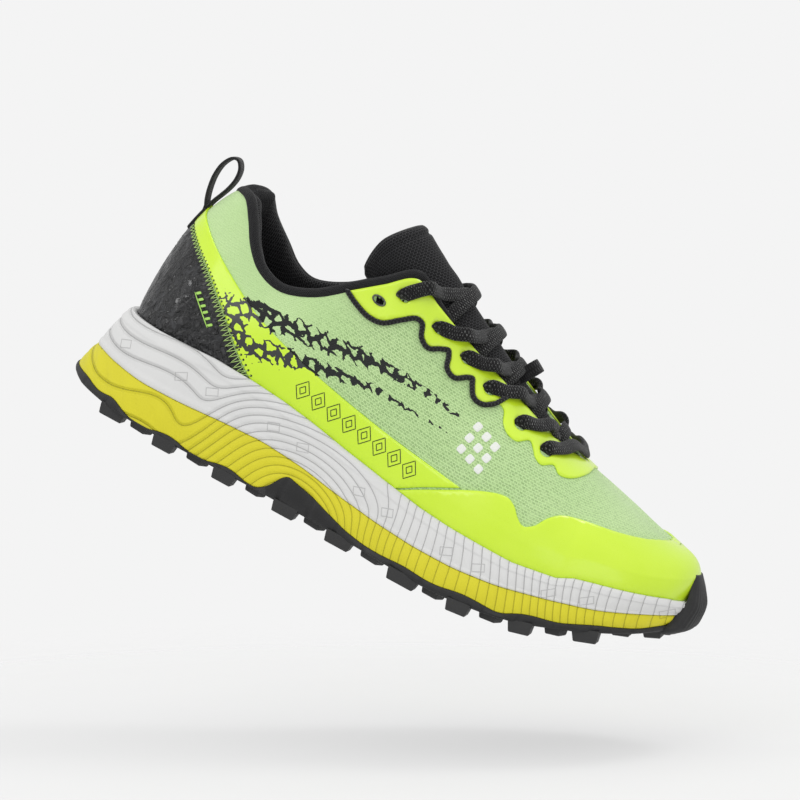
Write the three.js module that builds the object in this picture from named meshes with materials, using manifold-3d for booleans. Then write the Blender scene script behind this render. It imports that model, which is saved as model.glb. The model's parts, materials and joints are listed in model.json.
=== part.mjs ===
// A trail running shoe, right foot, about a men's EU 42.5, built as its real pieces.
// Work frame: x from the heel (0) to the toe, y lateral (-) to medial (+), z up, millimetres.
// The finished group is moved so that the origin is the centre of the shoe's footprint.
import * as THREE from 'three';
import { mergeVertices } from 'three/addons/utils/BufferGeometryUtils.js';
import Module from 'manifold-3d';

const wasm = await Module();
wasm.setup();

// ---------------------------------------------------------------- driving dimensions
const GAP = 0.3;              // clearance kept between neighbouring pieces
const MESH = 1.5;             // thickness of the knitted upper
const OVERLAY = 1.0;          // thickness of the welded film overlays
const HEM = 5;                // depth of the upper's lasting margin below the bite line
const BOARD = 1.2;            // strobel board
const INSOLE = 4;             // sock liner
const BINDING = { half: 2.4, thick: 1.9, rise: 2.7, inset: 1.7 };   // rolled collar edge
const LACE = { width: 4.6, thick: 2.0 };
const TONGUE = { base: 3.6, top: 6.5 };
const LOOP = { width: 9, thick: 1.1 };
const LUG_DEPTH = 4.2;

// Height of the bite line, where the upper meets the midsole, along the shoe.
const BITE = [
  [17, 43], [25, 43.3], [35, 43.8], [45, 44.6], [65, 45.8], [85, 45], [100, 43.6], [115, 41.5],
  [135, 38], [155, 35.2], [175, 32.8], [190, 32], [221, 31.8], [240, 34.3], [247, 37.6],
  [255, 39.3], [275, 43], [283, 44.5], [292, 45],
];
// Height of the seam between the white and the yellow foam.
const FOAM_SEAM = [
  [5, 21.5], [12, 23], [20, 22.3], [40, 21.2], [60, 22], [80, 23.5], [100, 24.3], [120, 22.8],
  [140, 19.8], [160, 18], [180, 17.3], [200, 18], [220, 20.3], [240, 24.4], [262, 29.5],
  [280, 35.5], [293, 39.5],
];
// Visible upper edge of the rubber: low along the heel, with a wedge under the arch.
const RUBBER_TOP = [
  [1, 10.5], [15, 10], [20, 8.4], [30, 8.2], [38, 6], [107, 6], [111, 8], [116, 17], [120, 16],
  [130, 14], [140, 11], [150, 8.3], [160, 7], [180, 7.5], [200, 8.8], [218, 10.8], [227, 11],
  [234, 13.8], [251, 18.5], [266, 24], [280, 28.5], [293, 35.5],
];
// Underside of the rubber sheet, between the lugs.
const SHEET_BOTTOM = [
  [1, 8.5], [5, 6.5], [12, 5.2], [22, 4.6], [32, 4], [170, 4], [190, 4.1],
  [200, 4.6], [220, 6.8], [232, 9], [243, 12], [255, 16], [270, 21.5], [279, 25], [290, 30], [298, 34],
];

// Ribs of the upper, heel to toe: bite point of each side [x, y], top point of each side, and
// the four numbers that shape the rib: lower handle, lower bulge, upper handle, upper bulge.
const RIBS = [
  [[17.5, 0], [17.5, 0], [32, 0, 110.5], [32, 0, 110.5], [0.40, 5.3, 0.22, 8.8]],
  [[19.5, -12], [19.5, 12], [34.5, -8, 111.5], [35, 9, 113], [0.40, 5, 0.22, 7.5]],
  [[26, -22], [26, 21.5], [41, -16, 110], [41, 16.5, 112.5], [0.39, 4, 0.25, 5.5]],
  [[38, -30.5], [38, 28.5], [48, -21.5, 102.5], [47, 21.5, 104], [0.38, 3, 0.30, 4]],
  [[52, -34.5], [52, 31.5], [55, -25.5, 93.5], [56, 26, 95.5], [0.36, 2, 0.33, 3]],
  [[68, -36.2], [68, 33], [64, -28.5, 86.5], [65, 29, 88], [0.35, 1.5, 0.33, 3]],
  [[86, -36.5], [86, 33], [76, -30, 84], [76, 30, 85.5], [0.35, 1.5, 0.33, 4]],
  [[103, -36.5], [103, 32], [90, -29.5, 89], [90, 29.5, 91], [0.35, 1.5, 0.33, 4]],
  [[118, -37], [118, 32], [103, -28, 99], [103, 28, 101], [0.35, 1.5, 0.33, 4]],
  [[132, -38], [132, 33.5], [114, -26, 107.5], [114, 26.5, 109.5], [0.35, 1.5, 0.33, 5]],
  [[145, -39.5], [145, 36], [125.5, -23.5, 116], [124, 25, 115.5], [0.35, 1.5, 0.33, 7]],
  [[158, -42], [158, 38.5], [138, -21.5, 110], [138, 24.5, 111.5], [0.37, 1.2, 0.30, 9]],
  [[172, -45], [172, 41.5], [154, -19.5, 102.8], [154, 23.5, 104], [0.39, 1, 0.27, 12]],
  [[186, -48], [186, 44], [170, -17.5, 96.2], [170, 22.5, 97.5], [0.41, 1, 0.24, 15]],
  [[200, -50.3], [200, 46], [186, -15.5, 90], [186, 21, 91], [0.42, 1, 0.18, 18]],
  [[213, -51], [213, 47], [201, -12, 83.8], [201, 18.5, 84.5], [0.45, 1, 0.12, 21]],
  [[225, -50], [225, 47], [214, -7, 79], [214, 14, 79.5], [0.48, 1, 0.07, 24]],
  [[236, -48], [237, 46.5], [225, 3, 76.5], [225, 3, 76.5], [0.50, 1, 0.02, 28]],
  [[247, -45.5], [249, 44.5], [236, 3.5, 73.2], [236, 3.5, 73.2], [0.50, 1, 0, 27]],
  [[258, -41.5], [260, 41.5], [247, 4, 70], [247, 4, 70], [0.50, 1, 0, 26]],
  [[268, -36], [270, 37.5], [257, 4.5, 67], [257, 4.5, 67], [0.50, 1, 0, 23]],
  [[277, -28], [279, 32], [265, 5, 64.8], [265, 5, 64.8], [0.52, 0.5, 0, 20]],
  [[284.5, -18], [286, 24], [271, 5.3, 63.6], [271, 5.3, 63.6], [0.55, 0.5, 0, 16]],
  [[289.5, -6], [290.3, 16], [274.5, 5.6, 63.1], [274.5, 5.6, 63.1], [0.60, 0.3, 0, 13]],
  [[291.5, 6], [291.5, 6], [276.5, 6, 63], [276.5, 6, 63], [0.60, 0.3, 0, 11]],
];
const LAST_RIB = RIBS.length - 1;
const THROAT_END = 17;        // the rib where the lacing throat closes and the vamp ridge starts
const THROAT_CORNER = 10;     // the rib where the collar turns into the throat

// Stations along each side, in rib numbers, closer together where the shape turns.
const STATIONS = [
  0, 0.5, 1, 1.5, 2, 3, 4, 5, 6, 7, 8, 9, 9.5, 10, 11, 12, 13, 14, 15, 16, 17, 18, 19, 20, 21, 22,
  23, 24,
];
const HEIGHTS = [0.15, 0.4, 0.65, 0.85, 1];

// ---------------------------------------------------------------- the skin of the upper
const vec = (p) => new THREE.Vector3(p[0], p[1], p[2]);

function along(table, x) {
  if (x <= table[0][0]) return table[0][1];
  for (let i = 1; i < table.length; i++) {
    const [x0, v0] = table[i - 1];
    const [x1, v1] = table[i];
    if (x <= x1) return v0 + ((v1 - v0) * (x - x0)) / (x1 - x0);
  }
  return table[table.length - 1][1];
}

// One row of numbers per rib for one side: bite x y, top x y z, and the shaping numbers.
function sideTable(side) {
  return RIBS.map(([bl, bm, tl, tm, k]) => (side < 0 ? [...bl, ...tl, ...k] : [...bm, ...tm, ...k]));
}
const TABLES = { '-1': sideTable(-1), '1': sideTable(1) };

// The other side's neighbouring rib carries the curve smoothly through the heel and the toe.
function ribRow(side, i) {
  if (i < 0) return TABLES[-side][-i];
  if (i > LAST_RIB) return TABLES[-side][2 * LAST_RIB - i];
  return TABLES[side][i];
}

function ribNumbers(side, s) {
  const i = Math.min(Math.floor(s), LAST_RIB - 1);
  const f = s - i;
  const [a, b, c, d] = [-1, 0, 1, 2].map((k) => ribRow(side, i + k));
  return b.map((_, k) => 0.5 * (2 * b[k] + (c[k] - a[k]) * f
    + (2 * a[k] - 5 * b[k] + 4 * c[k] - d[k]) * f * f + (3 * b[k] - a[k] - 3 * c[k] + d[k]) * f ** 3));
}

// Outward direction in plan at the bite line.
function outward(side, s) {
  const step = 1e-3;
  const lo = ribNumbers(side, Math.max(s - step, 0));
  const hi = ribNumbers(side, Math.min(s + step, LAST_RIB));
  if (s < step) return new THREE.Vector3(-1, 0, 0);
  if (s > LAST_RIB - step) return new THREE.Vector3(1, 0, 0);
  return new THREE.Vector3(hi[1] - lo[1], lo[0] - hi[0], 0).normalize().multiplyScalar(-side);
}

function rib(side, s) {
  const r = ribNumbers(side, s);
  const n = outward(side, s);
  const bite = new THREE.Vector3(r[0], r[1], along(BITE, r[0]));
  const top = new THREE.Vector3(r[2], r[3], r[4]);
  const rise = top.clone().sub(bite);
  const lean = Math.min(1, r[7] / 0.25);
  const low = bite.clone().add(new THREE.Vector3(r[5] * lean * rise.x, 0, r[5] * rise.z));
  low.addScaledVector(n, r[6]);
  const high = top.clone().sub(new THREE.Vector3(r[7] * rise.x, 0, r[7] * rise.z));
  high.addScaledVector(n, r[8]);
  return { bite, low, high, top, n };
}

// A point of the outer face; t is 0 at the bite line, 1 at the top, -1 at the hem's edge.
function skin(side, s, t) {
  const { bite, low, high, top, n } = rib(side, s);
  if (t < 0) return bite.clone().addScaledVector(n, 0.4 * t).add(new THREE.Vector3(0, 0, HEM * t));
  const q = 1 - t;
  return new THREE.Vector3()
    .addScaledVector(bite, q ** 3)
    .addScaledVector(low, 3 * q * q * t)
    .addScaledVector(high, 3 * q * t * t)
    .addScaledVector(top, t ** 3);
}

function sideNormal(side, s, t) {
  const e = 0.02;
  const s0 = Math.max(s - e, 0);
  const s1 = Math.min(s + e, LAST_RIB);
  const t0 = t <= 0 ? 0 : Math.max(t - e, 0);
  const t1 = t <= 0 ? e : Math.min(t, 1);
  const ds = skin(side, s1, Math.max(t, 0)).sub(skin(side, s0, Math.max(t, 0)));
  const dt = skin(side, s, t1).sub(skin(side, s, t0));
  return ds.cross(dt).normalize().multiplyScalar(-side);
}

// On the shared ribs and along the vamp ridge both sides give the same normal.
function skinNormal(side, s, t) {
  const shared = s === 0 || s === LAST_RIB || (t === 1 && s >= THROAT_END);
  if (!shared) return sideNormal(side, s, t);
  return sideNormal(-1, s, t).add(sideNormal(1, s, t)).normalize();
}

function offsetSkin(side, s, t, distance) {
  return skin(side, s, t).addScaledVector(skinNormal(side, s, t), distance);
}

// ---------------------------------------------------------------- solids
function geometryFrom(triangles) {
  const g = new THREE.BufferGeometry();
  const flat = triangles.flatMap((tri) => tri.flatMap((p) => [p.x, p.y, p.z]));
  g.setAttribute('position', new THREE.Float32BufferAttribute(flat, 3));
  return g;
}

function volumeOf(triangles) {
  return triangles.reduce((sum, [a, b, c]) => sum + a.dot(b.clone().cross(c)) / 6, 0);
}

function solidFrom(geometry) {
  const g = geometry.clone();
  g.deleteAttribute('normal');
  g.deleteAttribute('uv');
  const m = mergeVertices(g, 1e-4);
  const triVerts = new Uint32Array(m.index.array);
  const vertProperties = new Float32Array(m.attributes.position.array);
  return new wasm.Manifold(new wasm.Mesh({ numProp: 3, vertProperties, triVerts }));
}

function geometryOf(solid) {
  const mesh = solid.getMesh();
  const g = new THREE.BufferGeometry();
  g.setAttribute('position', new THREE.BufferAttribute(new Float32Array(mesh.vertProperties), 3));
  g.setIndex(new THREE.BufferAttribute(new Uint32Array(mesh.triVerts), 1));
  return g;
}

const differs = (a, b) => a.distanceToSquared(b) > 1e-8;

function addTriangle(list, a, b, c) {
  if (differs(a, b) && differs(b, c) && differs(a, c)) list.push([a, b, c]);
}

// Split along the shorter diagonal, so that faces lying over one another fold the same way.
function addQuad(list, a, b, c, d) {
  if (a.distanceTo(c) <= b.distanceTo(d) + 1e-6) {
    addTriangle(list, a, b, c);
    addTriangle(list, a, c, d);
  } else {
    addTriangle(list, a, b, d);
    addTriangle(list, b, c, d);
  }
}

function closedBody(triangles) {
  const out = volumeOf(triangles) < 0 ? triangles.map(([a, b, c]) => [a, c, b]) : triangles;
  return solidFrom(geometryFrom(out));
}

// Joins two equal grids of points [column][row] into one closed sheet.
function sheetBody(outer, inner, { wrap = false, openTop = () => true } = {}) {
  const tris = [];
  const cols = outer.length;
  const rows = outer[0].length;
  const spans = wrap ? cols : cols - 1;
  for (let i = 0; i < spans; i++) {
    const j = (i + 1) % cols;
    for (let k = 0; k < rows - 1; k++) {
      addQuad(tris, outer[i][k], outer[j][k], outer[j][k + 1], outer[i][k + 1]);
      addQuad(tris, inner[j][k], inner[i][k], inner[i][k + 1], inner[j][k + 1]);
    }
    addQuad(tris, inner[i][0], inner[j][0], outer[j][0], outer[i][0]);
    const r = rows - 1;
    if (openTop(i, j)) addQuad(tris, outer[i][r], outer[j][r], inner[j][r], inner[i][r]);
  }
  if (!wrap) {
    for (let k = 0; k < rows - 1; k++) {
      addQuad(tris, inner[0][k], outer[0][k], outer[0][k + 1], inner[0][k + 1]);
      const e = cols - 1;
      addQuad(tris, outer[e][k], inner[e][k], inner[e][k + 1], outer[e][k + 1]);
    }
  }
  return closedBody(tris);
}

// Columns run from one side, round the heel or the toe, to the other side.
function columnsRoundHeel(lastStation) {
  const list = STATIONS.filter((s) => s <= lastStation);
  return [...list.slice().reverse().map((s) => [-1, s]), ...list.slice(1).map((s) => [1, s])];
}

function columnsRoundToe(firstStation) {
  const list = STATIONS.filter((s) => s >= firstStation);
  return [...list.map((s) => [-1, s]), ...list.slice(0, -1).reverse().map((s) => [1, s])];
}

function columnsAll() {
  const medial = STATIONS.slice(1, -1).reverse().map((s) => [1, s]);
  return [...STATIONS.map((s) => [-1, s]), ...medial];
}

// A layer of the upper between two distances from the skin.
function layer(columns, heights, outerAt, innerAt, options) {
  const place = (distanceAt) => columns.map(([side, s]) => (
    heights.map((t) => offsetSkin(side, s, t, distanceAt(t)))
  ));
  return sheetBody(place(outerAt), place(innerAt), options);
}

// Stack of closed rings round the shoe, capped below and above by straight rungs across it.
function ringBody(rings) {
  const columns = columnsAll();
  const grid = rings.map((at) => columns.map(([side, s]) => at(side, s)));
  const count = columns.length;
  const half = STATIONS.length - 1;
  const tris = [];
  for (let r = 0; r < grid.length - 1; r++) {
    for (let i = 0; i < count; i++) {
      const j = (i + 1) % count;
      addQuad(tris, grid[r][i], grid[r][j], grid[r + 1][j], grid[r + 1][i]);
    }
  }
  const cap = (ring, flip) => {
    for (let i = 0; i < half; i++) {
      const lat = [ring[i], ring[i + 1]];
      const med = [ring[(count - i) % count], ring[(count - i - 1) % count]];
      if (flip) addQuad(tris, lat[1], lat[0], med[0], med[1]);
      else addQuad(tris, lat[0], lat[1], med[1], med[0]);
    }
  };
  cap(grid[0], true);
  cap(grid[grid.length - 1], false);
  return closedBody(tris);
}

function bitePoint(side, s, out, z) {
  const { bite, n } = rib(side, s);
  const p = bite.clone().addScaledVector(n, out);
  return new THREE.Vector3(p.x, p.y, z(bite.x, p.x, bite.z));
}

// Prism along y from an outline in x and z, from y0 to y1.
function prism(points, y0, y1) {
  const shape = new THREE.Shape(points.map(([x, z]) => new THREE.Vector2(x, z)));
  const depth = y1 - y0;
  const g = new THREE.ExtrudeGeometry(shape, { depth, bevelEnabled: false, curveSegments: 4 });
  g.rotateX(Math.PI / 2);
  g.translate(0, y1, 0);
  return solidFrom(g);
}

// Smooth run of points through a few hand-placed ones.
function smooth(points, count) {
  const curve = new THREE.CatmullRomCurve3(points.map(([x, z]) => new THREE.Vector3(x, 0, z)));
  return curve.getPoints(count).map((p) => [p.x, p.z]);
}

// Sweeps an oval along a path; each path point brings the direction of the oval's short axis.
function sweptOval(path, thin, halfWide, halfThick, sides = 8) {
  const rings = path.map((p, i) => {
    const ahead = path[Math.min(i + 1, path.length - 1)].clone();
    const run = ahead.sub(path[Math.max(i - 1, 0)]).normalize();
    const wide = run.clone().cross(thin[i]).normalize();
    const up = wide.clone().cross(run).normalize();
    return Array.from({ length: sides }, (_, k) => {
      const a = (2 * Math.PI * (k + 0.5)) / sides;
      const rim = p.clone().addScaledVector(wide, halfWide * Math.cos(a));
      return rim.addScaledVector(up, halfThick * Math.sin(a));
    });
  });
  const tris = [];
  for (let i = 0; i < rings.length - 1; i++) {
    for (let k = 0; k < sides; k++) {
      const m = (k + 1) % sides;
      addQuad(tris, rings[i][k], rings[i][m], rings[i + 1][m], rings[i + 1][k]);
    }
  }
  const last = rings.length - 1;
  for (let k = 1; k < sides - 1; k++) {
    tris.push([rings[0][0], rings[0][k + 1], rings[0][k]]);
    tris.push([rings[last][0], rings[last][k], rings[last][k + 1]]);
  }
  return closedBody(tris);
}

// Finds the skin position (s, t) whose side view is at (x, z).
function locate(side, x, z) {
  let best = { s: 8, t: 0.5, d: Infinity };
  let span = { s: 8, t: 0.5 };
  for (let pass = 0; pass < 12; pass++) {
    const c = { ...best };
    for (let i = -4; i <= 4; i++) {
      for (let k = -4; k <= 4; k++) {
        const s = THREE.MathUtils.clamp(c.s + (span.s * i) / 4, 0, LAST_RIB);
        const t = THREE.MathUtils.clamp(c.t + (span.t * k) / 4, 0, 1);
        const p = skin(side, s, t);
        const d = (p.x - x) ** 2 + (p.z - z) ** 2;
        if (d < best.d) best = { s, t, d };
      }
    }
    span = { s: span.s * 0.5, t: span.t * 0.5 };
  }
  return best;
}

// ---------------------------------------------------------------- materials
const paint = (color, roughness, metalness = 0) => ({ color, roughness, metalness });
const FINISH = {
  mesh: paint('#b8de9b', 0.85),
  film: paint('#cdf032', 0.35),
  heelFilm: paint('#2c2d2e', 0.4),
  whiteFoam: paint('#e4e4e2', 0.75),
  yellowFoam: paint('#e0d833', 0.7),
  rubber: paint('#353637', 0.8),
  lining: paint('#1b1b1c', 0.95),
  webbing: paint('#161617', 0.9),
  lace: paint('#1f1f20', 0.95),
  board: paint('#d8d4c8', 0.95),
  sockLiner: paint('#2a2b2c', 0.9),
  counter: paint('#c9c9c4', 0.6),
  plastic: paint('#1a1a1b', 0.3),
  rim: paint('#b9bcb8', 0.4),
};

const shoe = new THREE.Group();
function add(name, solid, finish) {
  const mesh = new THREE.Mesh(geometryOf(solid), new THREE.MeshStandardMaterial(FINISH[finish]));
  mesh.name = name;
  shoe.add(mesh);
  return mesh;
}

// ---------------------------------------------------------------- sole
// How far each level of the sole stands out from the bite line, by rib number.
const FLARE_RIM = [[0, 3.8], [3, 3], [6, 2.8], [22, 2.6], [24, 2.2]];
const FLARE_SEAM = [[0, 11.3], [2, 8], [4, 6], [8, 5], [16, 4.6], [21, 3.6], [24, 2.2]];
const FLARE_BASE = [[0, 16], [2, 11], [4, 8], [8, 6], [16, 5.6], [21, 4], [24, 1]];

const seamZ = (x) => along(FOAM_SEAM, x);
const rubberZ = (x) => along(RUBBER_TOP, x);
const sheetZ = (x) => along(SHEET_BOTTOM, x);
const coreZ = (x) => Math.min(sheetZ(x) + 3, rubberZ(x));
const CORE_INSET = -9;

// The space that the lasted upper and its overlays fill, cut out of the white foam.
function upperRoom() {
  const out = OVERLAY + 2 * GAP;
  const ring = (t, dz) => (side, s) => offsetSkin(side, s, t, out).add(new THREE.Vector3(0, 0, dz));
  return ringBody([ring(-1, -GAP), ring(0, 0), ring(HEIGHTS[0], 0)]);
}

function buildMidsoles() {
  const half = GAP / 2;
  const white = ringBody([
    (side, s) => bitePoint(side, s, along(FLARE_SEAM, s), (x, px) => seamZ(px) + half),
    (side, s) => bitePoint(side, s, along(FLARE_RIM, s) + 0.6, (x, px, z) => z - 3),
    (side, s) => bitePoint(side, s, along(FLARE_RIM, s), (x, px, z) => z + 0.3),
  ]);
  add('midsole_upper', white.subtract(upperRoom()), 'whiteFoam');
  const yellow = ringBody([
    (side, s) => bitePoint(side, s, CORE_INSET, (x) => coreZ(x) + half),
    (side, s) => bitePoint(side, s, along(FLARE_BASE, s), (x, px) => rubberZ(px) + half),
    (side, s) => bitePoint(side, s, along(FLARE_SEAM, s), (x, px) => seamZ(px) - half),
  ]);
  add('midsole_lower', yellow, 'yellowFoam');
}

// One tapered lug, set square to the underside at x.
function lug(x, y, length, width, turn = 0) {
  const slope = Math.atan2(sheetZ(x + 4) - sheetZ(x - 4), 8);
  const root = 1.6;
  const h = LUG_DEPTH + root;
  const g = new THREE.CylinderGeometry(Math.SQRT1_2 * 1.18, Math.SQRT1_2 * 0.86, h, 4, 1);
  g.rotateY(Math.PI / 4);
  g.rotateX(Math.PI / 2);
  g.scale(length, width, 1);
  g.rotateZ(turn);
  g.translate(0, 0, root - h / 2);
  g.rotateY(-slope);
  g.translate(x, y, sheetZ(x));
  return solidFrom(g);
}

function edgeOf(side, x) {
  let s = 0;
  while (s < LAST_RIB && rib(side, s).bite.x < x) s += 0.1;
  const p = bitePoint(side, s, along(FLARE_BASE, s), () => 0);
  return p.y;
}

function lugs() {
  const edge = [
    [34, 11], [62, 11], [92, 11], [122, 12], [150, 12], [182, 13], [210, 12], [236, 11], [261, 11],
  ];
  const parts = [];
  for (const side of [-1, 1]) {
    for (const [x, length] of edge) {
      parts.push(lug(x, edgeOf(side, x) - side * 7.5, length, 13, side * 0.12));
    }
    for (const x of [48, 77, 166, 196, 223, 248]) parts.push(lug(x, side * 13, 10, 13, side * 0.5));
  }
  for (const x of [27, 272, 284]) parts.push(lug(x, 4, 9, 24));
  return parts;
}

// The rubber that runs up in front of the toe cap.
function toeBumper() {
  const columns = [[-1, 22.6], [-1, 23.2], [-1, 23.7], [1, 24], [1, 23.6], [1, 23], [1, 22.4]];
  const clear = OVERLAY + 2 * GAP + 2.8;
  const thick = [5, 5.6, 5.4, 5, 4.2, 2];
  const inner = columns.map(([side, s]) => [
    bitePoint(side, s, along(FLARE_BASE, s) - 3, (x, px) => sheetZ(px) + 0.8),
    bitePoint(side, s, along(FLARE_BASE, s) + 0.8, (x, px) => rubberZ(px) - 0.4),
    bitePoint(side, s, along(FLARE_SEAM, s) + 0.6, (x, px) => seamZ(px)),
    bitePoint(side, s, along(FLARE_RIM, s) + 0.5, (x, px, z) => z + 0.6),
    offsetSkin(side, s, 0.3, clear),
    offsetSkin(side, s, 0.5, clear),
  ]);
  const outer = inner.map((list, i) => list.map((p, k) => {
    const [side, s] = columns[i];
    const edge = i === 0 || i === columns.length - 1 ? 0.45 : 1;
    return p.clone().addScaledVector(rib(side, s).n, thick[k] * edge);
  }));
  return sheetBody(outer, inner);
}

function buildOutsole() {
  const half = GAP / 2;
  const sheet = ringBody([
    (side, s) => bitePoint(side, s, along(FLARE_BASE, s) - 2.5, (x, px) => sheetZ(px)),
    (side, s) => bitePoint(side, s, along(FLARE_BASE, s) + 0.3, (x, px) => sheetZ(px) + 1),
    (side, s) => bitePoint(side, s, along(FLARE_BASE, s), (x, px) => rubberZ(px) - half),
    (side, s) => bitePoint(side, s, CORE_INSET, (x) => coreZ(x) - half),
  ]);
  const ground = new THREE.BoxGeometry(400, 200, 20);
  ground.translate(150, 0, -10);
  const body = [...lugs(), toeBumper()].reduce((all, part) => all.add(part), sheet);
  add('outsole', body.subtract(solidFrom(ground)), 'rubber');
}

// ---------------------------------------------------------------- inside the shoe
function floorSheet(inset, z0, z1) {
  const at = (z) => (side, s) => {
    const p = offsetSkin(side, s, -1, -inset);
    return new THREE.Vector3(p.x, p.y, rib(side, s).bite.z - HEM + z);
  };
  return ringBody([at(z0), at(z1)]);
}

function buildFloor() {
  add('strobel_board', floorSheet(MESH + GAP, 0.05, BOARD), 'board');
  add('insole', floorSheet(6, BOARD + GAP, BOARD + GAP + INSOLE), 'sockLiner');
}

const COUNTER_IN = MESH + GAP;
function buildStiffeners() {
  const low = [-0.55, 0, 0.15, 0.4];
  const shell = (columns, heights, depth, thick) => (
    layer(columns, heights, () => -depth, () => -depth - thick)
  );
  add('heel_counter', shell(columnsRoundHeel(6), low, COUNTER_IN, 1.2), 'counter');
  add('toe_puff', shell(columnsRoundToe(20), [...low, 0.65], COUNTER_IN + GAP, 0.9), 'counter');
}

function buildCollar() {
  const heights = [0.41, 0.65, 0.85, 0.97];
  const plump = (t) => 4.6 * Math.sin(Math.PI * THREE.MathUtils.clamp((t - 0.42) / 0.7, 0.12, 0.9));
  const pad = layer(columnsRoundHeel(9), heights, () => -COUNTER_IN, (t) => -COUNTER_IN - plump(t));
  add('collar_padding', pad, 'lining');
  const depth = (t) => COUNTER_IN + GAP + (t <= 0.4 ? 1.2 : plump(t) + 0.1);
  const all = [-0.55, 0, 0.15, 0.4, ...heights];
  const lining = layer(columnsRoundHeel(9), all, (t) => -depth(t), (t) => -depth(t) - 0.8);
  add('collar_lining', lining, 'lining');
}

// The rolled edge stands on top of the knit and the lining.
function buildBinding() {
  const path = [];
  const thin = [];
  for (const [side, s] of columnsRoundHeel(9.5)) {
    const up = skin(side, s, 1).sub(skin(side, s, 0.95)).normalize();
    path.push(offsetSkin(side, s, 1, -BINDING.inset).addScaledVector(up, BINDING.rise));
    thin.push(up);
  }
  add('collar_binding', sweptOval(path, thin, BINDING.half, BINDING.thick), 'lining');
}

// ---------------------------------------------------------------- upper and overlays
const ALL_HEIGHTS = [-1, 0, ...HEIGHTS];
const ridgeOpen = (columns) => (i, j) => columns[i][1] < THROAT_END || columns[j][1] < THROAT_END;

function wholeLayer(heights, out, inside) {
  const columns = columnsAll();
  const options = { wrap: true, openTop: ridgeOpen(columns) };
  return layer(columns, heights, () => out, () => inside, options);
}

// Lace holes in side view, front row last; the first is the spare hole by the collar.
const HOLES = [
  [115.5, 100.5], [124, 107], [143.5, 101.5], [160, 95.5], [175, 88.5], [194, 81.5], [209, 76.5],
];

function holeCutters() {
  const cuts = [];
  for (const side of [-1, 1]) {
    HOLES.forEach(([x, z], row) => {
      const { s, t } = locate(side, x, z);
      const p = skin(side, s, t);
      const n = skinNormal(side, s, t);
      const g = new THREE.CylinderGeometry(1, 1, 12, 6);
      g.scale(row === 0 ? 2.6 : 4.2, 1, row === 0 ? 1.3 : 3.2);
      const turn = new THREE.Matrix4();
      const run = skin(side, s + 0.2, t).sub(skin(side, s - 0.2, t)).normalize();
      const third = run.clone().cross(n).normalize();
      turn.makeBasis(third.clone().cross(n).negate(), n, third);
      g.applyMatrix4(turn);
      g.translate(p.x, p.y, p.z);
      cuts.push(solidFrom(g));
    });
  }
  return cuts;
}

// Outlines in side view; both sides of the shoe share them.
const HEEL_PANEL = [
  [10, 30], [82, 30], [82, 43.5], [72, 51.5], [60, 62], [50, 70], [41, 77], [30, 84], [21.5, 89.5],
  [10, 93],
];
const FOXING = [
  [10, 93.6], [21.8, 90.1], [30.4, 84.5], [41.4, 77.5], [50.4, 70.5], [60.4, 62.5], [72.4, 52],
  [82.5, 43.9], [82.5, 28], [152, 28], [160, 33.2], [172, 40.8], [187, 48.8], [170, 50.5], [155, 52],
  [140, 54], [125, 56.5], [108, 60], [92, 64], [72, 70.5], [62, 75], [50, 81.3], [40, 87], [26.5, 95.5],
  [10, 99],
];
const TOE_OVERLAY = [
  [152.6, 28], [160.6, 32.8], [172.6, 40.4], [187.6, 48.4], [195, 51.7], [203, 54.3], [207, 54.4],
  [211, 52.4], [214, 49.4], [218, 47.2], [222, 49.4], [225, 54], [229, 57.4], [235, 59], [255, 61.2],
  [265, 62.6], [272, 65], [275, 72], [310, 72], [310, 24], [152.6, 24],
];
const EYESTAY_EDGE = [
  [101, 99], [108, 95.5], [115, 93.3], [121, 93.7], [127, 98], [133, 102], [137, 101], [140, 95.5],
  [144, 93.3], [148, 95], [152, 96], [154, 93.5], [156, 89], [160, 87.3], [164, 89.5], [167, 90],
  [169, 87], [172, 83.5], [176, 82.8], [180, 85], [184.5, 84], [188, 79], [192, 76.2], [197, 75.3],
  [201, 77.5], [204, 75.5], [207, 72.8], [211, 71.3], [215, 73], [219, 70.8], [223, 70.8], [227, 73],
  [229, 75],
];

function buildUpper() {
  const knit = holeCutters().reduce((all, cut) => all.subtract(cut), wholeLayer(ALL_HEIGHTS, 0, -MESH));
  add('upper_mesh', knit, 'mesh');
  const film = wholeLayer([-0.8, 0, ...HEIGHTS], GAP + OVERLAY, GAP);
  add('heel_panel', film.intersect(prism(HEEL_PANEL, -70, 70)), 'heelFilm');
  add('foxing_lateral', film.intersect(prism(FOXING, -70, -GAP / 2)), 'film');
  add('foxing_medial', film.intersect(prism(FOXING, GAP / 2, 70)), 'film');
  add('toe_overlay', film.intersect(prism(TOE_OVERLAY, -70, 70)), 'film');
  const edge = smooth(EYESTAY_EDGE, 40);
  const outline = [...edge, [232, 84], [140, 125], [112, 128], [92, 104]];
  const stay = film.intersect(prism(outline, -70, 70));
  add('eyestay', holeCutters().reduce((all, cut) => all.subtract(cut), stay), 'film');
}

// The round cord sewn along the rear scallops of the eyestay.
function buildPiping() {
  const radius = 1.0;
  const points = EYESTAY_EDGE.slice(1, 20);
  const curve = new THREE.CatmullRomCurve3(points.map(([x, z]) => new THREE.Vector3(x, 0, z)));
  for (const [side, name] of [[-1, 'piping_cord_lateral'], [1, 'piping_cord_medial']]) {
    const path = [];
    const thin = [];
    const steps = 42;
    for (let i = 0; i <= steps; i++) {
      const p = curve.getPointAt(i / steps);
      const run = curve.getTangentAt(i / steps);
      const drop = radius + GAP + 0.45;
      const { s, t } = locate(side, p.x + run.z * drop, p.z - run.x * drop);
      path.push(offsetSkin(side, s, t, radius + GAP + 0.15));
      thin.push(skinNormal(side, s, t));
    }
    add(name, sweptOval(path, thin, radius, radius, 6), 'webbing');
  }
}

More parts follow.
